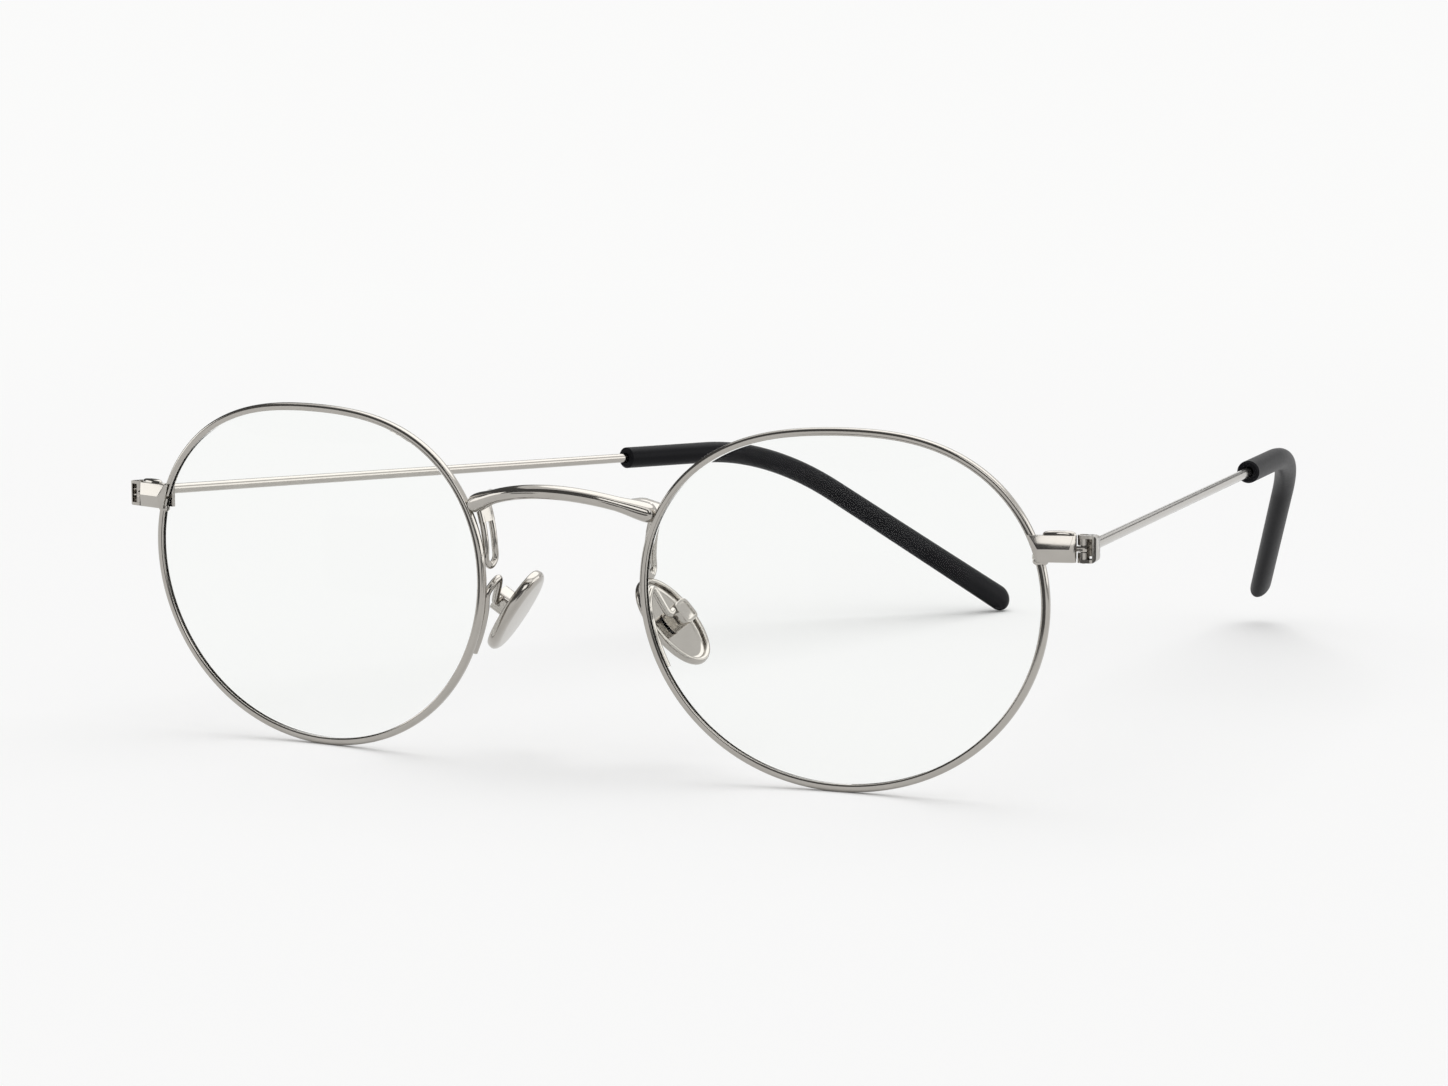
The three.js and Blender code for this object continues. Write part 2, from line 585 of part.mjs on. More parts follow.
function padBoxGeometry() {
  const half = PAD_BOX_LENGTH / 2;
  const side = PAD_BOX_WIDTH / 2;
  const corner = PAD_BOX_CORNER;
  const plan = new THREE.Shape();
  plan.moveTo(corner - half, -side);
  plan.absarc(half - corner, corner - side, corner, -Math.PI / 2, 0, false);
  plan.absarc(half - corner, side - corner, corner, 0, Math.PI / 2, false);
  plan.absarc(corner - half, side - corner, corner, Math.PI / 2, Math.PI, false);
  plan.absarc(corner - half, corner - side, corner, Math.PI, 1.5 * Math.PI, false);
  const shell = slab(plan, 0, PAD_BOX_DEPTH)
    .applyMatrix4(new THREE.Matrix4().makeBasis(
      new THREE.Vector3(0, 0, 1), new THREE.Vector3(0, -1, 0), new THREE.Vector3(1, 0, 0)))
    .translate(PAD_BOX_LIFT, 0, 0);
  const room = box(PAD_BOX_DEPTH, PAD_BOX_WIDTH - 2 * PAD_BOX_WALL, PAD_BOX_LENGTH - 2 * PAD_BOX_WALL,
    PAD_BOX_LIFT + PAD_BOX_DEPTH / 2 - PAD_BOX_WALL, 0, 0);
  const hole = toSolid(padPin(PAD_PIN_RADIUS + PIN_PLAY, 2 * PAD_BOX_WIDTH));
  return toGeometry(toSolid(shell).subtract(room).subtract(hole));
}

// Where the right pad sits: its back faces out, forward and up
const padPlace = new THREE.Vector3(PAD_GAP / 2, PAD_BEHIND, -PAD_BELOW);
const padTurn = new THREE.Euler(PAD_LEAN, -PAD_FLARE, -PAD_SPLAY, 'XYZ');

function fromPad(x, y, z) {
  return new THREE.Vector3(x, y, z).applyEuler(padTurn).add(padPlace);
}

// Pad arm: a wire soldered behind the rim that hooks over into the side of the pad box
function padArmGeometry() {
  const seat = RIM_DEPTH / 2 + SOLDER_GAP + PAD_ARM_RADIUS;
  const base = [0, 0.25, 0.5, 0.75, 1].map((share) => (
    onFront(THREE.MathUtils.lerp(PAD_ARM_START, PAD_ARM_LEAVE, share), rimMiddle, seat)
  ));
  const outer = PAD_BOX_LIFT + PAD_BOX_DEPTH - PAD_ARM_RADIUS - SOLDER_GAP;
  const above = PAD_BOX_LENGTH / 2 - PAD_ARM_RADIUS - SOLDER_GAP;
  const end = fromPad(outer, -PAD_BOX_WIDTH / 2 - SOLDER_GAP, above);
  const entry = fromPad(outer, -PAD_BOX_WIDTH / 2 - SOLDER_GAP - 2 * PAD_ARM_RADIUS, above);
  const crest = base[4].clone().lerp(entry, 0.55).add(new THREE.Vector3(-PAD_ARM_INWARD, 0, PAD_ARM_RISE));
  const path = new THREE.CatmullRomCurve3([...base, crest, entry, end]);
  const section = new THREE.Shape().absarc(0, 0, PAD_ARM_RADIUS, 0, 2 * Math.PI, false);
  return new THREE.ExtrudeGeometry(section, {
    steps: 26, extrudePath: path, curveSegments: 4, bevelEnabled: false,
  });
}

// The assembly

function piece(name, geometry, side, finish) {
  const shape = side === 'left' ? mirrorInX(geometry) : geometry;
  const mesh = new THREE.Mesh(shape, new THREE.MeshStandardMaterial(finish));
  mesh.name = side ? `${name}_${side}` : name;
  return mesh;
}

function frameAt(side, place, turn) {
  const hand = side === 'left' ? -1 : 1;
  const group = new THREE.Group();
  group.position.set(hand * place.x, place.y, place.z);
  group.rotation.set(turn.x, hand * turn.y, hand * turn.z, turn.order);
  return group;
}

function lensFrame(side) {
  const group = frameAt(side, lensCentre, lensTurn);
  group.add(piece('rim', rimGeometry(), side, STEEL));
  group.add(piece('lens', lensGeometry(), side, CLEAR_LENS));
  return group;
}

function endPieceFrame(side) {
  const seat = onFront(END_PIECE_ANGLE, rimMiddle, 0);
  const group = frameAt(side, seat, new THREE.Euler(0, 0, END_PIECE_TURN));
  const rimScrew = screwGeometry(
    RIM_SCREW_RADIUS, RIM_SCREW_HEAD_RADIUS, RIM_SCREW_HEAD_HEIGHT,
    lockTop - LOCK_HEIGHT - PIN_PLAY, lockTop + RIM_SCREW_GRIP);
  group.add(piece('end_piece', endPieceGeometry(), side, STEEL));
  group.add(piece('rim_lock', rimLockGeometry(), side, STEEL));
  group.add(piece('rim_screw', rimScrew.translate(...rimScrewPlace, 0), side, SCREW_STEEL));
  return group;
}

function templeFrame(side) {
  const group = frameAt(side, hingePlace, new THREE.Euler(0, 0, TOE_IN[side]));
  const hingeScrew = screwGeometry(
    HINGE_SCREW_RADIUS, HINGE_SCREW_HEAD_RADIUS, HINGE_SCREW_HEAD_HEIGHT,
    HINGE_SCREW_HEAD_HEIGHT - FORK_HEIGHT / 2, FORK_HEIGHT / 2 + HINGE_SCREW_TAIL).rotateX(Math.PI);
  const arm = new THREE.Group();
  arm.rotation.x = TEMPLE_RAISE[side];
  arm.add(piece('temple_wire', wireGeometry(), side, STEEL));
  arm.add(piece('temple_tip', tipGeometry(), side, BLACK_ACETATE));
  group.add(piece('hinge_fork', forkGeometry(), side, STEEL));
  group.add(piece('hinge_screw', hingeScrew, side, SCREW_STEEL));
  group.add(arm);
  return group;
}

function padFrame(side) {
  const group = frameAt(side, padPlace, padTurn);
  group.add(piece('nose_pad', nosePadGeometry(), side, STEEL));
  group.add(piece('pad_box', padBoxGeometry(), side, STEEL));
  group.add(piece('pad_pin', padPin(PAD_PIN_RADIUS, PAD_BOX_WIDTH), side, SCREW_STEEL));
  return group;
}

const front = new THREE.Group();
front.add(piece('bridge', bridgeGeometry(), null, STEEL));
for (const side of ['left', 'right']) {
  front.add(lensFrame(side), endPieceFrame(side), templeFrame(side), padFrame(side));
  front.add(piece('pad_arm', padArmGeometry(), side, STEEL));
}

// The glasses stand on the floor with the middle of their box over the origin.
const extent = new THREE.Box3().setFromObject(front, true);
const middle = extent.getCenter(new THREE.Vector3());
front.position.set(-middle.x, -middle.y, -extent.min.z);

const glasses = new THREE.Group();
glasses.add(front);

export default glasses;
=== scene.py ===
"""Round wire reading glasses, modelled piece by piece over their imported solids."""

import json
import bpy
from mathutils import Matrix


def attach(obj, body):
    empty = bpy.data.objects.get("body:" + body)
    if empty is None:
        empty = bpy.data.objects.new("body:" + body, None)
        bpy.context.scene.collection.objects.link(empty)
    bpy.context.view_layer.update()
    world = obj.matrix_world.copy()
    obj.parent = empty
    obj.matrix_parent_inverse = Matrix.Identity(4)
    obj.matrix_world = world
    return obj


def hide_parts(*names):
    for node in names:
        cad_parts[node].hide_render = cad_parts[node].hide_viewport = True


bl_info = {
    "name": "Round Reading Glasses",
    "version": (1, 0, 0),
    "blender": (4, 5, 0),
    "location": "View3D > Sidebar > Glasses",
    "description": "Models round wire reading glasses piece by piece over their fixed frame",
    "category": "Add Mesh",
}

from itertools import chain
from math import asin, cos, pi, radians, sin, sqrt, tan
from types import SimpleNamespace

import bpy
from bpy.props import FloatProperty, FloatVectorProperty, PointerProperty
from mathutils import Matrix, Vector

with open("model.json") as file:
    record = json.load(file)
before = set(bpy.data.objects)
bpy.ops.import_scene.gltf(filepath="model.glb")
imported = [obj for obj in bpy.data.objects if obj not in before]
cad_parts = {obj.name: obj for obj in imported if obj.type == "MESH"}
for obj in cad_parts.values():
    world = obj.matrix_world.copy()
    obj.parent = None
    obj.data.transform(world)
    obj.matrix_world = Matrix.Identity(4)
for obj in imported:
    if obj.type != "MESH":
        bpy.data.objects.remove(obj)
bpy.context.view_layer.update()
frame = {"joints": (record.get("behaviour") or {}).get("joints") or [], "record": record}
SIDES = ("left", "right")
MM = 0.001
UP = Vector((0, 0, 1))
HINGE_PIN = Vector(next(j["pos_m"] for j in frame["joints"] if j["name"] == "right_temple_fold"))
WHITE = (1.0, 1.0, 0.995, 1.0)


# Settings that a user would change


def linear(code):
    """Turns an sRGB hex colour into the linear values that shaders take."""
    shares = [int(code[place:place + 2], 16) / 255 for place in (1, 3, 5)]
    return tuple(s / 12.92 if s <= 0.04045 else ((s + 0.055) / 1.055) ** 2.4 for s in shares)


def length(name, description, millimetres):
    return FloatProperty(
        name=name, description=description, default=millimetres * MM, unit="LENGTH", precision=6)


def turn(name, description, degrees):
    return FloatProperty(name=name, description=description, default=radians(degrees), subtype="ANGLE")


def colour(name, description, code):
    return FloatVectorProperty(
        name=name, description=description, default=linear(code), subtype="COLOR", min=0.0, max=1.0)


def amount(name, description, value):
    return FloatProperty(name=name, description=description, default=value, min=0.0)


class GlassesFront(bpy.types.PropertyGroup):
    lens_width: length("Lens width", "Width of the lens opening", 48.2)
    lens_height: length("Lens height", "Height of the lens opening", 40.2)
    lens_distance: length("Between lenses", "Shortest way from one lens opening to the other", 22.8)
    panto_drop: length("Panto drop", "How far the outline narrows towards the bottom", 0.5)
    upsweep: length("Upsweep", "How far the outline rises towards the temples", 0.18)
    shoulder: length("Shoulder", "How far the outline swells at its four shoulders", 0.12)
    wrap: turn("Wrap", "Turn of each lens towards the temple", 4.4)
    tilt: turn("Tilt", "Lean of the lenses, top forward", 2.3)
    rim_wall: length("Rim wall", "Thickness of the rim wire across the lens plane", 0.92)
    rim_depth: length("Rim depth", "Thickness of the rim wire from front to back", 1.02)
    rim_round: length("Rim rounding", "Rounding of the rim wire's outer corners", 0.42)
    inner_round: length("Inner rounding", "Rounding of the rim wire's inner corners", 0.02)
    inner_chamfer: length("Inner chamfer", "Chamfer of the rim wire towards the lens", 0.13)
    groove_depth: length("Groove depth", "Depth of the lens groove", 0.35)
    groove_width: length("Groove width", "Width of the lens groove at its mouth", 0.66)
    rim_split: length("Rim split", "Gap in the rim behind the end piece", 0.35)
    lens_bulge: length("Lens bulge", "How far the middle of the lens stands forward of its edge", 1.5)
    lens_play: length("Lens play", "Clearance between lens and rim", 0.08)
    solder_gap: length("Solder gap", "Gap that solder fills between two pieces", 0.1)


class GlassesBridge(bpy.types.PropertyGroup):
    angle: turn("Angle", "Where the bar meets the rim", 158)
    rise: length("Rise", "Height of the arch above its ends", 2.5)
    bow: length("Bow", "How far the arch stands forward of its ends", 3.6)
    height: length("Height", "Height of the bar in the middle", 1.7)
    depth: length("Depth", "Depth of the bar in the middle", 1.9)
    leaf_height: length("Leaf height", "Thickness of the flattened ends", 1.1)
    leaf_depth: length("Leaf depth", "Depth of the flattened ends", 3.3)
    leaf_roll: turn("Leaf roll", "How far the flattened ends roll back towards the feet", 30)
    end_behind: length("End behind", "How far the ends lie behind the rim's middle", 0.6)
    foot_end: turn("Foot end", "Where the foot ends beside the rim", 176)
    foot_width: length("Foot width", "Width of the foot from front to back", 2.6)
    foot_thickness: length("Foot thickness", "Thickness of the foot", 0.75)
    foot_lean: length("Foot lean", "How far the foot drifts across the rim on its way down", 1.1)
    hairpin: length("Hairpin", "Radius of the hairpin wire below the foot's plate", 0.4)


class GlassesHinge(bpy.types.PropertyGroup):
    angle: turn("Angle", "Where the end piece sits on the rim", 18.5)
    sweep: turn("Sweep", "How far the end piece turns back", 18)
    lug_length: length("End piece length", "Length of the end piece", 4.98)
    lug_height: length("End piece height", "Height of the end piece", 3.0)
    ridge: length("Ridge", "How far the ridge stands forward of the edges", 0.42)
    edge: length("Edge", "Thickness of the plate along its edges", 0.38)
    hip: length("Hip", "Cut at the outer end of the ridge", 0.75)
    strap: length("Strap", "Thickness of the plate at the hinge", 0.75)
    inner_bevel: length("Inner bevel", "Bevel along the slanted edge over the rim", 0.25)
    crisp: length("Edge rounding", "Rounding of the polished edges", 0.11)
    solder: length("Solder", "Size of the solder bead under the end piece", 0.62)
    boss: length("Boss", "Half the length of the rounded boss behind the end piece", 1.9)
    strap_depth: length("Strap depth", "Thickness of the strap behind the rim", 0.45)
    lock_length: length("Lock length", "Length of the block that closes the rim", 1.5)
    lock_depth: length("Lock depth", "Depth of the block that closes the rim", 1.1)
    lock_height: length("Lock height", "Height of the block that closes the rim", 1.05)
    rim_screw: length("Rim screw", "Radius of the rim screw's shank", 0.28)
    rim_screw_head: length("Rim screw head", "Radius of the rim screw's head", 0.48)
    rim_screw_grip: length("Rim screw grip", "Length of the rim screw above the split", 0.9)
    head_height: length("Head height", "Height of a screw head", 0.3)
    screw_slot: length("Screw slot", "Width of the slot in a screw head", 0.16)
    pin_out: length("Pin out", "Way from the rim's middle out to the hinge pin", 5.28)
    pin_back: length("Pin back", "Way from the rim's middle back to the hinge pin", 0.02)
    barrel: length("Barrel", "Outer radius of the hinge barrels", 0.68)
    fork_height: length("Fork height", "Height of the fork over both ears", 3.1)
    fork_length: length("Fork length", "Way from the pin to the back of the fork", 2.1)
    cap: length("Cap", "Thickness of the fork's rounded caps", 0.38)
    cap_reach: length("Cap reach", "How far the fork's caps reach out from the pin", 1.5)
    wall: length("Wall", "Thickness of the fork's outer wall", 0.38)
    tongue_height: length("Tongue height", "Height of the tongue between the ears", 0.6)
    tongue_width: length("Tongue width", "Width of the tongue", 0.55)
    ear_play: length("Ear play", "Clearance between the tongue and each ear", 0.12)
    pin_play: length("Pin play", "Clearance round a pin", 0.07)
    pin: length("Pin", "Radius of the hinge screw's shank", 0.32)
    pin_head: length("Pin head", "Radius of the hinge screw's head", 0.48)
    pin_tail: length("Pin tail", "How far the hinge screw stands out below", 0.12)


class GlassesTemple(bpy.types.PropertyGroup):
    offset: length("Offset", "Way from the hinge pin out to the wire", 0.55)
    above: length("Above", "Height of the wire above the hinge's middle", 0.2)
    wire: length("Wire", "Radius of the temple wire", 0.63)
    collar: length("Collar", "Length of the solder collar where the wire meets the hinge", 0.7)
    to_tip: length("To the tip", "Way from the hinge pin to the black tip", 85.1)
    to_bend: length("To the bend", "Way from the hinge pin to the corner of the ear bend", 114.2)
    drop: length("Drop", "Way from the corner of the ear bend to the end", 48.6)
    drop_angle: turn("Drop angle", "Slope of the tip behind the ear", 31.9)
    inward: turn("Inward", "Turn of the tip towards the head", 17.5)
    bend: length("Bend radius", "Radius of the ear bend", 42)
    tip_start: length("Tip start", "Radius of the tip where the wire enters", 1.47)
    tip_width: length("Tip width", "Width of the tip at its end", 2.7)
    tip_height: length("Tip height", "Height of the tip at its end", 4.2)
    tip_chamfer: length("Tip chamfer", "Chamfer of the tip where the wire enters", 0.25)
    socket: length("Socket", "Depth of the tip's socket that is drawn open", 3)
    wire_cover: length("Wire cover", "Way from the end of the wire to the end of the tip", 9)
    left_toe_in: turn("Left toe-in", "How far the left temple stands in", 16.4)
    right_toe_in: turn("Right toe-in", "How far the right temple stands in", 8.8)
    right_raise: turn("Right raise", "How far the right temple stands up", 1.35)


class GlassesPads(bpy.types.PropertyGroup):
    length: length("Length", "Length of the oval pad", 12.2)
    width: length("Width", "Width of the oval pad", 7.9)
    front: length("Front", "How far the nose side swells from the pad's widest line", 0.75)
    face_inset: length("Face inset", "Way from the outline in to the flat of the nose side", 1.1)
    lip: length("Lip", "Height of the lip round the back", 0.7)
    lip_width: length("Lip width", "Width of the lip round the back", 0.75)
    floor: length("Floor", "Level of the dished back", 0.0)
    gap: length("Gap", "Way between the two pads' middles", 21.4)
    behind: length("Behind", "Way from the lens plane back to the pads", 5.4)
    below: length("Below", "Way from the lens middle down to the pads", 4.0)
    flare: turn("Flare", "How far the pads open downwards", 37)
    lean: turn("Lean", "How far the pads lean back", 14)
    splay: turn("Splay", "How far the pads open backwards", 2)
    box_length: length("Box length", "Length of the box that holds the pad", 2.85)
    box_width: length("Box width", "Width of the box that holds the pad", 2.6)
    box_depth: length("Box depth", "Depth of the box that holds the pad", 2.6)
    box_wall: length("Box wall", "Wall of the box that holds the pad", 0.38)
    box_lift: length("Box lift", "Way from the pad's widest line to the box", 0.2)
    box_corner: length("Box corner", "Corner rounding of the box", 0.8)
    box_recess: length("Box recess", "Depth of the recess in the box's outer end", 0.15)
    tab_play: length("Tab play", "Clearance between the pad's tab and its box", 0.2)
    pin: length("Pin", "Radius of the pad's pin", 0.32)
    pin_height: length("Pin height", "Way from the pad's widest line to the pin", 2.0)
    arm: length("Arm", "Radius of the arm's wire", 0.45)
    arm_start: turn("Arm start", "Where the arm's soldered stretch starts on the rim", 201)
    arm_leave: turn("Arm leave", "Where the arm leaves the rim", 183)
    arm_rise: length("Arm rise", "Height of the arm's hook", 2.4)
    arm_inward: length("Arm inward", "How far the hook leans to the nose", 1.0)


class GlassesFinish(bpy.types.PropertyGroup):
    steel: colour("Steel", "Polished steel of the frame", "#b6b2ac")
    steel_shade: colour("Steel shade", "Darker clouding in the polish", "#aaa6a0")
    screw: colour("Screw", "Turned steel of the screws and pins", "#a5a099")
    lens: colour("Lens", "Tint of the clear lenses", "#fefffe")
    acetate: colour("Acetate", "Black acetate of the tips", "#0e0e10")
    acetate_cloud: colour("Acetate cloud", "Lighter clouding in the acetate", "#18181b")
    floor: colour("Floor", "Pale studio floor", "#f7f7f7")


class GlassesStage(bpy.types.PropertyGroup):
    camera: FloatVectorProperty(
        name="Camera", description="Place of the camera", default=(0.23621, -0.47888, 0.08408), subtype="XYZ",
        unit="LENGTH", precision=5)
    yaw: turn("Yaw", "Turn of the camera to the left of the front", 28.06)
    pitch: turn("Pitch", "Slope of the view, down being negative", -6.974)
    roll: turn("Roll", "Roll of the camera", -0.184)
    focal: amount("Focal length", "Focal length in millimetres on a sensor 36 mm wide", 99.81)
    floor_size: FloatProperty(
        name="Floor size", description="Width of the studio floor", default=8.0, unit="LENGTH")
    sky: amount("Sky", "Strength of the even light from all round", 0.52)
    top_lamp: amount("Top lamp", "Strength of the round softbox above", 1.3)
    front_lamp: amount("Front lamp", "Strength of the round softbox in front", 0.6)
    softbox_width: turn("Softbox width", "Width of each softbox as the glasses see it", 66)
    bright_card: amount("Bright card", "Brightness of the white cards at both sides", 2.1)
    dark_card: amount("Dark card", "Brightness of the dark cards all round", 0.1)
    white: amount("White", "Strength of the white behind the glasses", 0.96)


# Modelling, as by hand


def select(*pieces):
    bpy.ops.object.select_all(action="DESELECT")
    for piece in pieces:
        piece.select_set(True)
    bpy.context.view_layer.objects.active = pieces[0]


def start(primitive, **options):
    """Adds a primitive with nothing else selected, and returns its object."""
    bpy.ops.object.select_all(action="DESELECT")
    primitive(**options)
    bpy.ops.object.transform_apply(location=True, rotation=True, scale=True)
    return bpy.context.object


def block(low, high):
    """A cube stretched between two corners."""
    low, high = Vector(low), Vector(high)
    return start(bpy.ops.mesh.primitive_cube_add, size=1, location=(low + high) / 2, scale=high - low)


def fill_ring(piece, first, count):
    """Closes one ring of points with a face."""
    for index, vertex in enumerate(piece.data.vertices):
        vertex.select = first <= index < first + count
    bpy.ops.object.mode_set(mode="EDIT")
    bpy.ops.mesh.select_mode(type="VERT")
    bpy.ops.mesh.edge_face_add()
    bpy.ops.mesh.select_all(action="DESELECT")
    bpy.ops.object.mode_set(mode="OBJECT")


def face_out(piece):
    """Merges doubled points and turns all faces outwards."""
    select(piece)
    bpy.ops.object.mode_set(mode="EDIT")
    bpy.ops.mesh.select_all(action="SELECT")
    bpy.ops.mesh.remove_doubles(threshold=1e-7)
    bpy.ops.mesh.normals_make_consistent(inside=False)
    bpy.ops.object.mode_set(mode="OBJECT")


def skin(rings):
    """Extrudes a circle from ring to ring, and closes the first and last ring."""
    count = len(rings[0])
    piece = start(bpy.ops.mesh.primitive_circle_add, vertices=count, fill_type="NOTHING")
    bpy.ops.object.mode_set(mode="EDIT")
    for _ in rings[1:]:
        bpy.ops.mesh.extrude_edges_move()
    bpy.ops.mesh.select_all(action="DESELECT")
    bpy.ops.object.mode_set(mode="OBJECT")
    for vertex, point in zip(piece.data.vertices, chain.from_iterable(rings)):
        vertex.co = point
    fill_ring(piece, 0, count)
    fill_ring(piece, (len(rings) - 1) * count, count)
    face_out(piece)
    return piece


def modify(piece, kind, **options):
    """Adds a modifier with its options and applies it."""
    select(piece)
    modifier = piece.modifiers.new(kind.title(), kind)
    for name, value in options.items():
        setattr(modifier, name, value)
    bpy.ops.object.modifier_apply(modifier=modifier.name)
    return piece


def combine(piece, other, operation):
    modify(piece, "BOOLEAN", operation=operation, solver="EXACT", object=other)
    select(other)
    bpy.ops.object.delete()
    return piece


def cut(piece, cutter):
    """Takes one shape out of another."""
    return combine(piece, cutter, "DIFFERENCE")


def fuse(piece, other):
    """Makes one closed shape of two that reach into each other."""
    return combine(piece, other, "UNION")


def join(piece, *others):
    select(piece, *others)
    bpy.ops.object.join()
    return piece


def slice_off(piece, point, normal):
    """Cuts away what lies beyond a plane and closes the cut."""
    select(piece)
    bpy.ops.object.mode_set(mode="EDIT")
    bpy.ops.mesh.select_all(action="SELECT")
    bpy.ops.mesh.bisect(plane_co=point, plane_no=normal, use_fill=True, clear_outer=True, threshold=1e-8)
    bpy.ops.object.mode_set(mode="OBJECT")
    return piece


def smooth(piece, angle=40):
    select(piece)
    bpy.ops.object.shade_smooth_by_angle(angle=radians(angle))
    return piece


def ease(piece, width, segments=3):
    """Rounds the sharp edges by a width."""
    return modify(
        piece, "BEVEL", width=width, segments=segments, limit_method="ANGLE", angle_limit=radians(25))


def steps(low, high, count):
    return [low + (high - low) * step / count for step in range(count + 1)]


def circle(radius, height, sides):
    return [Vector((radius * cos(a), radius * sin(a), height)) for a in steps(0, 2 * pi, sides)[:-1]]


def rounded(corners, radii, arc_steps=4):
    """An outline with each corner rounded by its own radius."""
    outline = []
    for index, corner in enumerate(corners):
        radius = radii[index]
        before = (Vector(corners[index - 1]) - Vector(corner)).normalized() * radius
        after = (Vector(corners[(index + 1) % len(corners)]) - Vector(corner)).normalized() * radius
        for share in steps(0, 1, arc_steps):
            outline.append(Vector(corner) + before * (1 - share) ** 2 + after * share ** 2)
    return outline


def raised(outline, low, high):
    """A flat outline raised between two heights."""
    return skin([[Vector((x, y, z)) for x, y in outline] for z in (low, high)])


def turned(profile, sides=32):
    """A round piece about Z from its radius at each height."""
    return skin([circle(radius, height, sides) for radius, height in profile])


def pin(radius, low, high, chamfer=0.0):
    """A round pin between two heights, with chamfered ends if asked for."""
    if not chamfer:
        return turned([(radius, low), (radius, high)])
    return turned([(radius - chamfer, low), (radius, low + chamfer), (radius, high - chamfer),
                   (radius - chamfer, high)])


# Places on the glasses, in millimetre-true metres; each is worked out for the right side


def settings(name):
    return getattr(bpy.context.scene, "glasses_" + name)


def lens_radius(angle):
    """Radius of the lens opening, with the angle counted from the temple side upwards."""
    front = settings("front")
    oval = (front.lens_width - front.lens_height) / 4 * cos(2 * angle)
    droop = front.panto_drop * sin(3 * angle) + front.upsweep * sin(2 * angle)
    return (front.lens_width + front.lens_height) / 4 + oval + droop + front.shoulder * (1 - cos(4 * angle))


def in_lens(angle, offset, depth):
    """A point at an angle round the lens, outside its edge by an offset and behind its plane."""
    radius = lens_radius(angle) + offset
    return Vector((radius * cos(angle), depth, radius * sin(angle)))


def lens_frame():
    """On the right lens's middle, with Y pointing back."""
    front = settings("front")
    middle = Vector(((front.lens_distance + front.lens_width) / 2, 0, 0))
    return (Matrix.Translation(middle) @ Matrix.Rotation(front.wrap, 4, "Z")
            @ Matrix.Rotation(front.tilt, 4, "X"))


def lug_frame():
    """On the rim's middle line under the end piece, with X pointing out to the hinge."""
    hinge = settings("hinge")
    seat = lens_frame() @ in_lens(hinge.angle, settings("front").rim_wall / 2, 0)
    return Matrix.Translation(seat) @ Matrix.Rotation(hinge.sweep, 4, "Z")


def hinge_place():
    hinge = settings("hinge")
    return lug_frame() @ Vector((hinge.pin_out, hinge.pin_back, 0))


def hinge_frame(side):
    temple = settings("temple")
    toe_in = temple.left_toe_in if side == "left" else temple.right_toe_in
    return Matrix.Translation(hinge_place()) @ Matrix.Rotation(toe_in, 4, "Z")


def temple_frame(side):
    lift = 0.0 if side == "left" else settings("temple").right_raise
    return hinge_frame(side) @ Matrix.Rotation(lift, 4, "X")


def pad_frame():
    """On the right pad's middle, with its back along X, its width along Y and its length along Z."""
    pads = settings("pads")
    place = Vector((pads.gap / 2, pads.behind, -pads.below))
    return (Matrix.Translation(place) @ Matrix.Rotation(pads.lean, 4, "X")
            @ Matrix.Rotation(-pads.flare, 4, "Y") @ Matrix.Rotation(-pads.splay, 4, "Z"))


def standing():
    """Moves what is drawn about the bridge to where the glasses stand, by their right hinge pin."""
    return Matrix.Translation(HINGE_PIN - hinge_place())


# Finishing and placing


MATERIAL_OF_SLOT = {
    "polished_steel": "Polished stainless steel",
    "screw_steel": "Turned steel",
    "clear_lens": "Clear lens",
    "black_acetate": "Black acetate",
}


def dress(piece, node):
    """Lets a finished piece stand for its solid, with that solid's body and material."""
    record = frame["record"]
    body = next(body for body, nodes in record["behaviour"]["bodies"].items() if node in nodes)
    slot = next(part["material_slot"] for part in record["subparts"] if part["node"] == node)
    piece.data.materials.clear()
    piece.data.materials.append(bpy.data.materials[MATERIAL_OF_SLOT[slot]])
    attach(piece, body)
    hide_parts(node)


def place_pair(model, name, node, frame_of):
    """Copies a piece drawn for the right side to both sides, and removes the original."""
    for side in SIDES:
        select(model)
        bpy.ops.object.duplicate()
        copy = bpy.context.object
        copy.name = f"{side}_{name}"
        mirror = Matrix.Diagonal((-1, 1, 1, 1)) if side == "left" else Matrix.Identity(4)
        copy.data.transform(standing() @ mirror @ frame_of(side))
        if side == "left":
            copy.data.flip_normals()
        dress(copy, f"{node}_{side}")
    select(model)
    bpy.ops.object.delete()


# Rims and lenses


def rim_section():
    """The rim wire's outline: rounded outside, grooved inside."""
    front = settings("front")
    half = front.rim_depth / 2
    groove = front.groove_width / 2
    slope, inner, outer = front.inner_chamfer, front.inner_round, front.rim_round
    corners = [(0, slope - half), (slope, -half), (front.rim_wall, -half), (front.rim_wall, half),
               (slope, half), (0, half - slope), (0, groove), (front.groove_depth, 0), (0, -groove)]
    return rounded(corners, [inner, slope, outer, outer, slope, inner, inner, inner, inner])


class GLASSES_OT_rims(bpy.types.Operator):
    """Sweep the grooved rim wire round each lens, open at the split"""

    bl_idname = "glasses.rims"
    bl_label = "Rims"

    def execute(self, context):
        front = settings("front")
        start_angle = settings("hinge").angle
        split = front.rim_split / lens_radius(start_angle)
        section = rim_section()
        angles = steps(start_angle + split / 2, start_angle + 2 * pi - split / 2, 216)
        rim = skin([[in_lens(angle, x, y) for x, y in section] for angle in angles])
        smooth(rim, 50)
        place_pair(rim, "rim_wire", "rim", lambda side: lens_frame())
        return {"FINISHED"}


